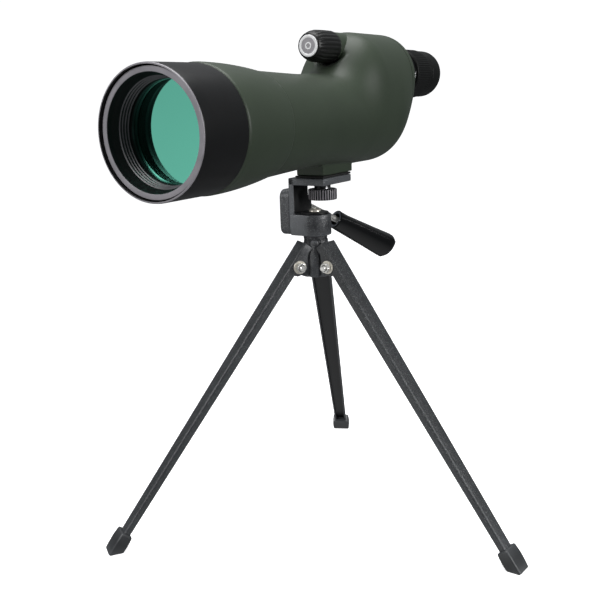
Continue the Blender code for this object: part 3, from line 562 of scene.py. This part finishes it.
barrel = [(36.6, -112.0), (37.1, -112.6), (37.1, -173.4), (36.95, -173.85), (36.7, -174.1), (34.0, -174.1),
          (33.72, -173.98), (33.6, -173.7), (33.45, -171.2), (33.1, -170.0), (31.95, -167.2)]
y = -166.4
for k in range(4):                     # anti-glare threads ahead of the lens
    q = 31.8 - 0.32 * k
    barrel += [(q, y), (q - 0.05, y + 0.35), (q - 0.75, y + 0.75), (q - 0.75, y + 1.15)]
    y += 2.05
barrel += [(30.95, -158.1), (31.6, -157.95), (31.6, -140.7), (29.6, -140.7), (29.6, -137.4), (32.5, -137.4),
           (32.5, -112.0)]
# front face of the barrel in the light grey: painted reflection; front-facing thread flanks in the mid grey: painted
# highlights
lathe("objective_barrel_skin", barrel, TUBE, "Y", "tilt", ["satin", "lit_grey", "inner", "thread"], "objective_barrel",
      168, closed=True, round_r=0.0, angle=30,
      mat_of=lambda i: 3 if 11 <= i <= 26 and (i - 11) % 4 == 1 else (1 if 3 <= i <= 6 else (2 if i > 6 else 0)))
lathe("objective_retainer_skin", [(31.3, -155.1), (31.3, -157.6), (31.1, -157.9), (30.2, -157.7), (29.9, -157.2),
                                  (29.9, -155.1)], TUBE, "Y", "tilt", ["satin"], "objective_retaining_ring",
      144, closed=True, round_r=0.0)


def lens_profile(r, y_front, sag_front, y_rear, sag_rear, n=14):
    front = [(r * i / n, y_front - sag_front * (1 - (i / n) ** 2)) for i in range(n + 1)]
    rear = [(r * i / n, y_rear + sag_rear * (1 - (i / n) ** 2)) for i in range(n + 1)]
    return rear + list(reversed(front))


lathe("objective_lens_skin", lens_profile(31.2, -154.9, 0.05, -146.4, 2.2), TUBE, "Y", "tilt", ["lens"],
      "objective_front_lens", 120, round_r=0.0)
lathe("eye_lens_skin", lens_profile(12.9, 171.0, 1.6, 175.5, 1.0), EYE, "Y", "tilt", ["eye_glass"], "eye_lens",
      72, round_r=0.0)

# ------------------------------------------------------------ focus knob
knob = [(0, 7.7), (3.1, 7.7), (3.1, 25.8), (10.4, 25.8), (11.1, 25.5), (11.4, 24.8), (11.5, 22.0)]
knob += [(11.5 - 0.2 * (i / 6) ** 2, 22.0 - 15.0 * i / 6) for i in range(1, 7)]
knob += [(11.15, 5.2), (10.75, 3.2), (10.25, 1.3), (9.65, -0.6), (9.0, -2.0), (8.5, -2.7), (8.15, -2.95),
         (7.9, -3.0), (7.85, -2.8), (7.85, -1.9), (0, -1.9)]


def flutes(t, r, h):
    if r < 8.1 or h > 25.6:
        return r
    w = min(1.0, max(0.0, (24.6 - h) / 1.2)) * min(1.0, max(0.0, (h + 1.9) / 3.0))
    c = 0.5 + 0.5 * math.cos(22 * t)
    return r - 0.42 * w * (c ** 2.0)


lathe("focus_knob_skin", knob, KNOB, "Y", "focus", ["knob"], "focus_knob", 288, mod=flutes,
      round_r=0.0, angle=60)
cap = [(0, -2.2), (7.65, -2.2), (7.65, -2.95), (7.5, -3.2), (7.2, -3.3), (5.75, -3.3), (5.6, -3.22), (5.5, -3.05)]
cap2 = [(5.5, -3.05), (2.55, -3.05), (2.5, -3.22), (2.35, -3.25), (1.75, -3.25), (1.6, -3.22), (1.55, -3.05),
        (0, -3.05)]
lathe("focus_knob_cap_skin", cap + cap2[1:], KNOB, "Y", "focus", ["white", "lilac"], "focus_knob_cap",
      96, round_r=0.0, mat_of=lambda i: 1 if i >= 7 and not 8 <= i <= 12 else 0)

# ------------------------------------------------------------ eyepiece
eb = [(14.6, 179.0), (14.6, 169.6), (16.5, 169.6), (16.5, 141.0), (17.9, 141.0), (18.3, 140.8), (18.5, 140.3),
      (18.5, 131.0), (18.35, 130.8), (18.35, 130.3), (18.5, 130.1), (18.5, 109.2), (18.35, 108.2), (17.9, 107.6),
      (15.9, 107.6), (15.9, 95.5), (13.2, 95.5), (13.2, 179.0)]
lathe("eyepiece_barrel_skin", eb, EYE, "Y", "tilt", ["satin"], "eyepiece_barrel", 120,
      closed=True, round_r=0.0)
zr = [(19.0, 169.2), (19.9, 168.9), (20.3, 168.2)]
zr += [(20.3, 167.4), (20.3, 166.9)] + [(20.3, 166.6 - i * 2.3) for i in range(1, 10)]
zr += [(20.3, 144.6), (20.3, 143.9), (20.3, 142.6), (20.0, 141.8), (19.4, 141.4), (16.9, 141.4), (16.9, 169.2)]


def ribs(t, r, h):
    if r < 20.2:
        return r
    w = min(1.0, max(0.0, (167.0 - h) / 0.5)) * min(1.0, max(0.0, (h - 143.7) / 0.5))
    s = math.cos(64 * t)
    return r - 0.42 * w * (1.0 if s > 0.25 else (0.0 if s < -0.25 else 0.5 + 2.0 * s))


lathe("zoom_ring_skin", zr, EYE, "Y", "zoom", ["rubber"], "zoom_ring", 384, closed=True, mod=ribs,
      round_r=0.0, angle=60)
ec = [(18.3, 190.6), (18.9, 190.3), (19.3, 189.7), (19.55, 188.7), (19.6, 187.4), (19.6, 180.0), (19.55, 174.5),
      (19.3, 174.2), (19.3, 173.6), (19.55, 173.3), (19.6, 171.6), (19.4, 170.4), (18.9, 169.8), (15.0, 169.8),
      (15.0, 179.4), (13.4, 180.4), (13.4, 182.0), (14.3, 184.6), (15.3, 187.2), (16.2, 189.4), (16.8, 190.3),
      (17.4, 190.6)]
lathe("eyecup_skin", ec, EYE, "Y", "tilt", ["rubber"], "eyecup", 144, closed=True, round_r=0.0)


# zoom figures printed round the collar, just ahead of the ring
def figures(text, mid_deg, y_mid, height):
    cu = bpy.data.curves.new("fig_" + text, "FONT")
    cu.body = text
    cu.size = height * MM
    cu.align_x = "CENTER"
    cu.align_y = "CENTER"
    cu.extrude = 0.00004
    cu.resolution_u = 3
    tmp = bpy.data.objects.new("tmp_" + text, cu)
    bpy.context.scene.collection.objects.link(tmp)
    bpy.context.view_layer.update()
    dg = bpy.context.evaluated_depsgraph_get()
    me = bpy.data.meshes.new_from_object(tmp.evaluated_get(dg))
    bpy.data.objects.remove(tmp, do_unlink=True)
    b2 = bmesh.new()
    b2.from_mesh(me)
    bpy.data.meshes.remove(me)
    for v in b2.verts:
        # text reads along the collar's round, its top towards the eyepiece
        ang = math.radians(mid_deg) - v.co.x / MM / 18.5
        r = 18.5 + 0.02 + v.co.z / MM
        v.co = W(r * math.cos(ang), y_mid + v.co.y / MM, EYE_Z + r * math.sin(ang))
    return b2


fig = bmesh.new()
for k, (txt, deg) in enumerate((("60", 150), ("50", 118), ("40", 84), ("30", 46), ("20", -4))):
    b2 = figures(txt, deg, 137.2, 5.6)
    tmp_me = bpy.data.meshes.new("tmp")
    b2.to_mesh(tmp_me)
    b2.free()
    fig.from_mesh(tmp_me)
    bpy.data.meshes.remove(tmp_me)
finish_piece(fig, "zoom_figures", "tilt", ["white"], (), 30)

# ------------------------------------------------------------ tripod head
YZ = Matrix.LocRotScale(W(0, 0, 0), Matrix(((0, 0, 1), (1, 0, 0), (0, 1, 0))).to_quaternion(), None)
bm = bmesh.new()
box_into(bm, (-18.6, -6.5, 256.8), (12.0, 35.0, 262.1), 0.7, 3)
q = rounded_rect(-6.5, 19.0, 219.3, 247.6, 5.0, 7)
prism_into(bm, q[24:32] + [p for p in q[0:8]] + [(14.0, 247.6), (14.0, 261.4), (-6.5, 261.4)] + q[16:24], -18.6, -14.0, YZ,
           0.6, 3)
prism_into(bm, rounded_rect(-6.4, 18.9, 219.2, 253.3, 6.0, 8), -27.1, -18.2, YZ, 1.1, 4)
# inner face of the arm and underside of the platform take the darker casting copy: painted shade
x_in = W(-14.0, 0, 0).x
for f in bm.faces:
    c = f.calc_center_median()
    if abs(c.x - x_in) < 0.0004 and c.z < W(0, 0, 256.6).z and abs(f.normal.x) > 0.8:
        f.material_index = 1
    if abs(c.z - 0.2568) < 0.0004 and abs(f.normal.z) > 0.9 and f.calc_area() > 2e-4:
        f.material_index = 1
finish_piece(bm, "tilt_bracket_skin", "tilt", ["cast", "cast_shade"], "tilt_bracket", 35)
bm = bmesh.new()
box_into(bm, (-12.4, -6.2, 262.4), (11.8, 34.8, 263.9), 0.3, 2)
finish_piece(bm, "platform_pad_skin", "tilt", ["pad"], "platform_pad", 35)

wheel = [(0, 247.8), (3.35, 247.8), (3.35, 256.4), (6.0, 256.4), (6.15, 256.2), (6.15, 253.4), (6.4, 253.0),
         (8.6, 252.85), (9.0, 253.0), (10.1, 253.0), (10.6, 252.8), (10.8, 252.3)]
wheel += [(10.8, 252.3 - 6.6 * i / 6) for i in range(1, 6)] + [(10.8, 245.7), (10.6, 245.2), (10.1, 245.0),
                                                             (8.8, 245.0), (8.5, 245.3), (3.0, 245.3), (0, 245.3)]


def knurl(t, r, h):
    if r < 10.05:
        return r
    return r - (0.75 if r > 10.5 else 0.4) * (max(0.0, math.cos(34 * t)) ** 0.6)


tw = lathe("thumb_wheel_skin", wheel, (0, 12, 0), "Z", "thumb", ["cast", "dark_steel", "cast_shade", "lit_grey"], "thumb_wheel",
           408, mod=knurl, round_r=0.0, mat_of=lambda i: 1 if i < 6 else 0, angle=50)
# knurl band: grooves take the darker casting copy as painted shade, crests the light grey as painted highlights
wc0 = W(0, 12, 0)
for f in tw.data.polygons:
    dx, dy = f.center.x - wc0.x, f.center.y - wc0.y
    if math.hypot(dx, dy) > 9.9 * MM and f.center.z < 0.2529:
        f.material_index = 2 if math.cos(34 * math.atan2(dy, dx)) > 0.05 else 3
scr = [(0, 270.2), (2.3, 270.2), (2.6, 269.9)]
z = 269.6
while z > 256.8:
    scr += [(3.05, z), (2.6, z - 0.6)]
    z -= 1.27
scr += [(3.05, 256.4), (3.05, 248.2), (0, 248.2)]
lathe("camera_screw_skin", scr, (0, 12, 0), "Z", "thumb", ["steel"], "camera_screw", 48, round_r=0.0)

# pan drum: a D-shaped block
bm = bmesh.new()


def drum_loop(inset, z, n=40):
    q = 12.0 - inset
    pts = [(q * math.cos(math.radians(-90 + 180.0 * k / n)), q * math.sin(math.radians(-90 + 180.0 * k / n)))
           for k in range(n + 1)]
    return [W(x, y, z) for x, y in pts + [(-13.7, q), (-13.7, -q)]]


loft_into(bm, [drum_loop(0.8, 220.4), drum_loop(0.25, 220.6), drum_loop(0, 221.2), drum_loop(0, 228),
               drum_loop(0, 235.3), drum_loop(0.12, 235.65), drum_loop(0.5, 235.9), drum_loop(1.2, 235.9)])
finish_piece(bm, "pan_drum_skin", "pan", ["cast"], "pan_drum", 35)
lathe("pan_disc_skin", [(10.0, 237.3), (10.3, 237.0), (10.3, 236.2), (3.3, 236.2), (3.3, 237.3)], (0, 0, 0), "Z",
      "pan", ["dark_and_shade"], "pan_disc", 96, closed=True, round_r=0.15)


def screw_head(name, r, h, M, body, mats, cross=True, replaces=(), shank=None):
    """Pan-head screw along M's +Z, head on top at 0..h, with a driver recess."""
    prof = [(0, h * 0.62), (0.32 * r, h * 0.62), (0.36 * r, h * 0.98), (0.6 * r, h * 0.93), (0.82 * r, h * 0.72),
            (0.95 * r, h * 0.42), (r, 0.12), (r, 0.0)]
    if shank:
        prof += [(shank[0], 0.0), (shank[0], -shank[1]), (0, -shank[1])]
    bm = bmesh.new()

    def star(t, q, z):
        if cross and q < 0.34 * r:
            return q * (0.55 + 0.75 * abs(math.cos(2 * t)) ** 3)
        return q
    lathe_into(bm, prof, M, 64, mod=star)
    return finish_piece(bm, name, body, mats, replaces, 40)


screw_head("pan_screw_skin", 4.4, 2.1, place((0, 0, 237.6)), "pan", ["washer"], True, "pan_screw",
           (3.0, 31.6))
screw_head("tilt_pivot_skin", 4.8, 2.3, axis_matrix((-24.3 - 16 + 16, 3.5, 228.6), (-1, 0, 0)), "pan", ["steel"],
           True, "tilt_pivot_screw", (2.45, 18.3))

# ------------------------------------------------------------ handle
HS, HD = (-18.3, 15.0, 240.84), (0.4007, 0.7875, -0.4683)
HM = axis_matrix(HS, HD)
rod = [(0, 50.0), (2.0, 50.0), (2.3, 49.7)]
z = 49.2
while z > 2.2:
    rod += [(2.4, z), (2.05, z - 0.45)]
    z -= 0.9
rod += [(2.3, 1.2), (2.0, 1.0), (0, 1.0)]
lathe("handle_rod_skin", rod, None, None, "handle", ["steel"], "handle_rod", 40, round_r=0.0, M=HM)

bm = bmesh.new()
stn = [(31.9, 6.6), (32.05, 7.2), (32.5, 7.6), (33.6, 7.8), (40, 8.2), (48, 8.7), (57, 9.25), (66, 9.8),
       (74, 10.4), (81.5, 10.95), (85.0, 11.1), (86.6, 11.0), (87.2, 10.75), (89.5, 9.2), (90.1, 8.7), (90.3, 8.0)]
NG = 144
GROLL = math.radians(90)


def grip_r(r, t, h):
    w = min(1.0, max(0.0, (h - 32.0) / 3.0))
    u = ((t + GROLL) % (math.tau / 3)) / (math.tau / 3)
    c = math.sin(math.pi * u)
    return r * (1 - 0.165 * w * (c ** 0.95))


loops = [[HM @ Vector((grip_r(r, math.tau * j / NG, h) * math.cos(math.tau * j / NG) * MM,
                       grip_r(r, math.tau * j / NG, h) * math.sin(math.tau * j / NG) * MM, h * MM))
          for j in range(NG)] for h, r in stn]
rows = loft_into(bm, loops, False, True)
first = rows[0]
prev = first
# near end face of the grip in the light blue-grey: painted highlight; the bore in the plain dark material
for r, h, mi in ((5.3, 31.9, 1), (4.9, 32.1, 1), (4.8, 32.6, 2), (4.8, 36.4, 2), (2.7, 36.4, 2)):
    cur = [bm.verts.new(HM @ Vector((r * math.cos(math.tau * j / NG) * MM, r * math.sin(math.tau * j / NG) * MM,
                                     h * MM))) for j in range(NG)]
    for j in range(NG):
        k = (j + 1) % NG
        bm.faces.new((prev[k], prev[j], cur[j], cur[k])).material_index = mi
    prev = cur
finish_piece(bm, "handle_grip_skin", "handle", ["gloss", "grip_end_lit", "dark_and_shade"], "handle_grip", 32)

# ------------------------------------------------------------ hub
AZ = {"rear": 113.74, "left": 233.74, "right": 353.74}
PH, PR, R0, FR = 198.2, 16.5, 20.6, 167.3
bm = bmesh.new()


def hub_r(t, z):
    """Radius of the cast hub: round neck, then three shoulders running out to the lugs."""
    k = 0.0
    for az in AZ.values():
        d = (math.degrees(t) - az + 180) % 360 - 180
        k = max(k, math.exp(-(d / 30.0) ** 2))
    neck = 8.3 + 0.9 * min(1.0, max(0.0, (z - 216.0) / 4.0))
    s = min(1.0, max(0.0, (218.5 - z) / 8.5))
    s = s * s * (3 - 2 * s)
    low = min(1.0, max(0.0, (z - 189.2) / 2.5)) ** 0.5
    return (neck + (10.9 - neck) * k * s) * (0.93 + 0.07 * low)


zs = [189.2, 189.35, 189.9, 191, 193, 196, 200, 204, 207, 209, 211, 213, 214.5, 216, 217.5, 219.0, 219.6, 220.0, 220.1]
loops = []
for i, z in enumerate(zs):
    e = 0.0 if 2 <= i <= len(zs) - 4 else (0.8 if i in (0, len(zs) - 1) else 0.3)
    loops.append([W((hub_r(math.tau * j / 120, z) - e) * math.cos(math.tau * j / 120),
                    (hub_r(math.tau * j / 120, z) - e) * math.sin(math.tau * j / 120), z) for j in range(120)])
loft_into(bm, loops)
for az in AZ.values():
    a = math.radians(az)
    R = Matrix.Rotation(a, 3, "Z")
    # lug that the leg's channel straddles
    M = Matrix.LocRotScale(W(0, 0, 0), (R @ Matrix(((1, 0, 0), (0, 0, 1), (0, 1, 0)))).to_quaternion(), None)
    M = Matrix.Translation(W(0, 0, 0)) @ Matrix(((R[0][0], 0, R[0][1]), (R[1][0], 0, R[1][1]), (0, 1, 0))).to_4x4()
    pts = [(4.0, 213.0), (4.0, 190.5), (12.0, 190.5), (17.0, 192.6), (19.6, 194.7), (20.7, 196.8), (21.0, 198.8),
           (20.4, 200.8), (19.0, 202.5), (13.0, 210.5)]
    prism_into(bm, pts, -6.0, 6.0, M, 0.8, 3)
    # rounded rib between two lugs
    b = math.radians(az + 60)
    R2 = Matrix.Rotation(b, 3, "Z")
    rl = []
    for z, ro, hw in ((189.5, 10.6, 3.2), (190.2, 11.6, 3.7), (200.0, 11.8, 3.9), (206.0, 11.4, 3.9),
                      (210.0, 10.3, 3.8), (214.0, 9.1, 3.6), (217.5, 8.3, 3.2)):
        loop = []
        for k in range(13):
            q = math.radians(-90 + 15 * k)
            loop.append((ro - 1.9 + 1.9 * math.cos(q), hw * math.sin(q)))
        loop += [(3.5, hw), (3.5, -hw)]
        rl.append([W(*(R2 @ Vector((x, y, z)))) for x, y in loop])
    loft_into(bm, rl)
finish_piece(bm, "tripod_hub_skin", "tripod", ["cast"], "tripod_hub", 35)

# ------------------------------------------------------------ legs, feet, bolts
SPLAY = math.atan2(FR - R0, PH)
LEG_LEN = PH / math.cos(SPLAY)
OFF = (R0 - PR) * math.cos(SPLAY)


def channel(w, d, wall, xm, c=1.5, n=5):
    """U outline with rounded outer corners, web outside (+x)."""
    xo, xi, h = xm + d / 2, xm - d / 2, w / 2
    pts = [(xi, h)]
    for k in range(n + 1):
        q = math.pi / 2 * k / n
        pts.append((xo - c + c * math.sin(q), h - c + c * math.cos(q)))
    for k in range(n + 1):
        q = math.pi / 2 * k / n
        pts.append((xo - c + c * math.cos(q), -(h - c) - c * math.sin(q)))
    pts += [(xi, -h), (xi, -h + wall)]
    ci = max(0.3, c - wall)
    for k in range(3):
        q = math.pi / 2 * k / 2
        pts.append((xo - wall - ci + ci * math.sin(q), -(h - wall) + ci - ci * math.cos(q)))
    for k in range(3):
        q = math.pi / 2 * k / 2
        pts.append((xo - wall - ci + ci * math.cos(q), (h - wall) - ci + ci * math.sin(q)))
    pts += [(xi, h - wall)]
    return pts


n_out = 2 + 2 * 6 + 1        # outline vertices belonging to the outside of the channel
for leg, az in AZ.items():
    a = math.radians(az)
    LM = Matrix.LocRotScale(W(PR * math.cos(a), PR * math.sin(a), PH), Euler((0, -SPLAY, a)), None)
    bm = bmesh.new()
    top, bot = 17.0, -(LEG_LEN - 8.0)
    loops = []
    hs = [top, top - 0.25, 12, 7.5]
    hs += [6.6, 5.6, 4.6, 3.2, 1.6, 0, -1.6, -3.2, -4.6, -5.6, -6.6, -7.5] + [-7.5 + (bot + 7.5) * i / 12 for i in range(1, 13)]
    for h in hs:
        ear = 0.0
        if abs(h) < 7.5:
            ear = 4.4 * min(1.0, math.sqrt(max(0.0, 1 - (abs(h) / 7.5) ** 2.6)) * 1.08)
        q = (top - h) / (top - bot)
        w, d = 16.2 + (10.2 - 16.2) * q, 7.0 + (4.7 - 7.0) * q
        if h == top:
            w, d = w - 0.3, d - 0.3
        loops.append([LM @ Vector((x * MM, y * MM, h * MM)) for x, y in channel(w, d + ear, 1.2, OFF - ear / 2)])
    nn = len(loops[0])
    # inside faces of the channel take the darker copy of the leg finish: painted shade
    loft_into(bm, loops, True, True, mat_rows=lambda i, j: 1 if n_out <= j + 1 < nn - 1 else 0)
    finish_piece(bm, "leg_%s_skin" % leg, "leg_" + leg, ["leg", "dark_and_shade"], "leg_" + leg, 40)

    # rubber foot, cut flat at the table
    bm = bmesh.new()
    rows_f = [(-(LEG_LEN - 13.5), 6.6, 3.8, 0.9), (-(LEG_LEN - 13.1), 7.1, 4.3, 1.3), (-(LEG_LEN - 12.3), 7.3, 4.5, 1.3),
              (-(LEG_LEN - 6.0), 7.6, 4.8, 1.3), (-(LEG_LEN - 0.0), 7.35, 4.75, 1.4), (-(LEG_LEN + 4.5), 7.0, 4.6, 1.6)]
    loops = []
    for h, hw, hd, c in rows_f:
        loops.append([LM @ Vector((x * MM, y * MM, h * MM)) for x, y in
                      rounded_rect(OFF - hd, OFF + hd, -hw, hw, c, 4)])
    loft_into(bm, loops)
    geom = bm.verts[:] + bm.edges[:] + bm.faces[:]
    cut = bmesh.ops.bisect_plane(bm, geom=geom, plane_co=(0, 0, 0.0001), plane_no=(0, 0, 1), clear_inner=True)
    edge = [e for e in cut["geom_cut"] if isinstance(e, bmesh.types.BMEdge)]
    bmesh.ops.holes_fill(bm, edges=edge, sides=0)
    low = [e for e in bm.edges if all(v.co.z < 0.00012 for v in e.verts) and len(e.link_faces) == 2]
    bmesh.ops.bevel(bm, geom=low, offset=0.0004, segments=2, profile=0.5, affect="EDGES")
    finish_piece(bm, "foot_%s_skin" % leg, "leg_" + leg, ["foot"], "foot_" + leg, 35)

    # pivot bolt: head on one side, washer, nut and thread end on the other
    side = math.pi if leg == "right" else 0.0
    B = Matrix.LocRotScale(W(PR * math.cos(a), PR * math.sin(a), PH), Euler((0, 0, a + side)), None) @ \
        Matrix.Rotation(-math.pi / 2, 4, "X")
    bp = [(0, 15.2), (1.5, 15.2), (1.95, 14.8)]
    z = 14.5
    while z > 12.9:
        bp += [(2.05, z), (1.75, z - 0.3)]
        z -= 0.6
    bp += [(2.05, 12.4), (2.05, -8.2), (4.0, -8.3), (4.0, -9.6), (3.7, -10.2), (3.0, -10.6), (1.2, -10.7), (0, -10.7)]
    lathe("pivot_bolt_%s_skin" % leg, bp, None, None, "tripod", ["steel"], "pivot_bolt_" + leg, 48,
          round_r=0.0, M=B)
    lathe("pivot_washer_%s_skin" % leg, [(4.7, 9.0), (4.9, 8.8), (4.9, 8.3), (4.7, 8.1), (2.35, 8.1), (2.35, 9.0)],
          None, None, "tripod", ["washer"], "pivot_washer_" + leg, 64, closed=True, round_r=0.0, M=B)

    def hexa(t, r, h):
        if r < 3.0:
            return r
        u = (t % (math.pi / 3)) - math.pi / 6
        flat = 3.29 / math.cos(u)
        return min(r, flat)
    lathe("pivot_nut_%s_skin" % leg, [(3.2, 12.6), (3.45, 12.5), (3.8, 12.15), (3.8, 9.75), (3.45, 9.4), (3.2, 9.3),
                                      (2.6, 9.3), (2.6, 12.6)], None, None, "tripod", ["steel"],
          "pivot_nut_" + leg, 72, closed=True, round_r=0.0, M=B, mod=hexa, angle=25)

# ------------------------------------------------------------ inner CAD pieces
KEEP = {"inner": ("tube_joint_ring", "light_baffle_front", "light_baffle_rear", "prism_plate", "prism_carriage",
                  "zoom_lens_cell"),
        "glass": ("objective_rear_lens", "prism_rear", "prism_front", "field_lens", "zoom_lens"),
        "steel": ("guide_rod_left", "guide_rod_right", "focus_shaft"),
        "brass": ("focus_bushing", "focus_nut", "tripod_insert"),
        "rubber": ("eyepiece_seal",)}
for key, names in KEEP.items():
    for n in names:
        ob = frame["nodes"][n]
        if not hasattr(ob, "material_slots"):
            ob = bpy.data.objects[ob if isinstance(ob, str) else n]
        if not len(ob.material_slots):
            ob.data.materials.append(MAT[key])
        for s in ob.material_slots:
            s.material = MAT[key]

# ================================================================ the studio
world = bpy.data.worlds.new("studio")
bpy.context.scene.world = world
world.use_nodes = True
bg = world.node_tree.nodes["Background"]
wn = world.node_tree
wc = wn.nodes.new("ShaderNodeTexCoord").outputs["Generated"]
wd = wn.nodes.new("ShaderNodeVectorMath")
wd.operation = "DOT_PRODUCT"
wn.links.new(wc, wd.inputs[0])
wd.inputs[1].default_value = Vector((0.20, -0.30, -0.93)).normalized()
wn.links.new(ramp(wn, mul(wn, wd.outputs["Value"], 0.5, 0.5), [(0.0, (0.30, 0.31, 0.32)), (0.45, (0.10, 0.105, 0.11)),
                                                              (0.80, (0.16, 0.165, 0.17)), (1.0, (0.62, 0.63, 0.64))]),
             bg.inputs["Color"])
wd2 = wn.nodes.new("ShaderNodeVectorMath")
wd2.operation = "DOT_PRODUCT"
wn.links.new(wc, wd2.inputs[0])
wd2.inputs[1].default_value = Vector((-0.517, -0.823, -0.20)).normalized()
box = ramp(wn, wd2.outputs["Value"], [(0.90, (0, 0, 0)), (0.935, (0.45, 0.46, 0.45)), (1.0, (0.80, 0.80, 0.78))])
ad = wn.nodes.new("ShaderNodeMix")
ad.data_type = "RGBA"
ad.blend_type = "ADD"
ad.inputs["Factor"].default_value = 1.0
wn.links.new(bg.inputs["Color"].links[0].from_socket, ad.inputs["A"])
wn.links.new(box, ad.inputs["B"])
wn.links.new(ad.outputs["Result"], bg.inputs["Color"])
bg.inputs["Strength"].default_value = 1.0
seen = wn.nodes.new("ShaderNodeBackground")          # plain white backdrop past the floor's edge
seen.inputs["Color"].default_value = (1.0, 1.0, 1.0, 1)
pick = wn.nodes.new("ShaderNodeMixShader")
wn.links.new(wn.nodes.new("ShaderNodeLightPath").outputs["Is Camera Ray"], pick.inputs["Fac"])
wn.links.new(bg.outputs["Background"], pick.inputs[1])
wn.links.new(seen.outputs["Background"], pick.inputs[2])
wn.links.new(pick.outputs["Shader"], wn.nodes["World Output"].inputs["Surface"])
bpy.context.scene.view_settings.view_transform = "Standard"

bm = bmesh.new()
ext, rad, hgt, n = 3.2, 1.2, 3.0, 24
prof = [(-6.0, 0.0), (ext - rad, 0.0)] + [(ext - rad + rad * math.sin(math.pi / 2 * k / n),
                                         rad - rad * math.cos(math.pi / 2 * k / n)) for k in range(1, n + 1)] + [
    (ext, hgt)]
d = Vector((-0.532, 0.847)).normalized()
s = Vector((d.y, -d.x))
rows = []
for u, z in prof:
    rows.append([bm.verts.new((d.x * u + s.x * v, d.y * u + s.y * v, z)) for v in (-5.0, 0.0, 5.0)])
for a, b in zip(rows, rows[1:]):
    for j in range(2):
        bm.faces.new((a[j], a[j + 1], b[j + 1], b[j]))
me = bpy.data.meshes.new("floor")
bm.to_mesh(me)
bm.free()
floor = bpy.data.objects.new("floor", me)
bpy.context.scene.collection.objects.link(floor)
me.shade_smooth()
fm, nt, b = new_mat("floor_white")
tc = nt.nodes.new("ShaderNodeTexCoord").outputs["Object"]
nt.links.new(ramp(nt, noise(nt, 3.0, 2.0, 0.5, tc), [(0.3, (0.86, 0.86, 0.86)), (0.7, (0.88, 0.88, 0.88))]),
             b.inputs["Base Color"])
b.inputs["Roughness"].default_value = 0.8
b.inputs["Emission Color"].default_value = (1.0, 1.0, 1.0, 1)
b.inputs["Emission Strength"].default_value = 0.80
me.materials.append(fm)
floor.visible_diffuse = False
floor.visible_glossy = False


def area(name, loc, target, size, power, size_y=None):
    l = bpy.data.lights.new(name, "AREA")
    l.energy = power
    l.shape = "RECTANGLE"
    l.size = size
    l.size_y = size_y or size
    o = bpy.data.objects.new(name, l)
    bpy.context.scene.collection.objects.link(o)
    o.location = loc
    o.rotation_euler = (Vector(target) - Vector(loc)).to_track_quat("-Z", "Y").to_euler()
    return o


area("key_top", (-0.1, 0.15, 1.5), (0, 0, 0.2), 1.0, 16)
area("side_right", (1.20, 0.06, 0.60), (0, 0.05, 0.30), 0.26, 9.0, 0.55)
area("front_left", (-0.45, -1.3, 0.95), (0, -0.05, 0.3), 0.5, 11.0)
area("front_right", (1.05, -0.75, 0.30), (0, 0.0, 0.12), 0.22, 0.45, 0.5)

# ================================================================ camera
C = Vector((0.32505189 + PX, -0.54164340 + PY, 0.32221765))
Rv = Vector((0.8501344848, 0.5256819604, -0.0304931826))
Uv = Vector((-0.0978865453, 0.2146717116, 0.9717686353))
Fv = Vector((-0.5173872650, 0.8231491558, -0.2339570159))
cam = bpy.data.cameras.new("camera")
cam.lens = 51.346624
cam.sensor_width = 36.0
cam.clip_start = 0.01
co = bpy.data.objects.new("camera", cam)
bpy.context.scene.collection.objects.link(co)
co.matrix_world = Matrix(((Rv.x, Uv.x, -Fv.x, C.x), (Rv.y, Uv.y, -Fv.y, C.y), (Rv.z, Uv.z, -Fv.z, C.z),
                          (0, 0, 0, 1)))
bpy.context.scene.camera = co

bpy.context.view_layer.update()
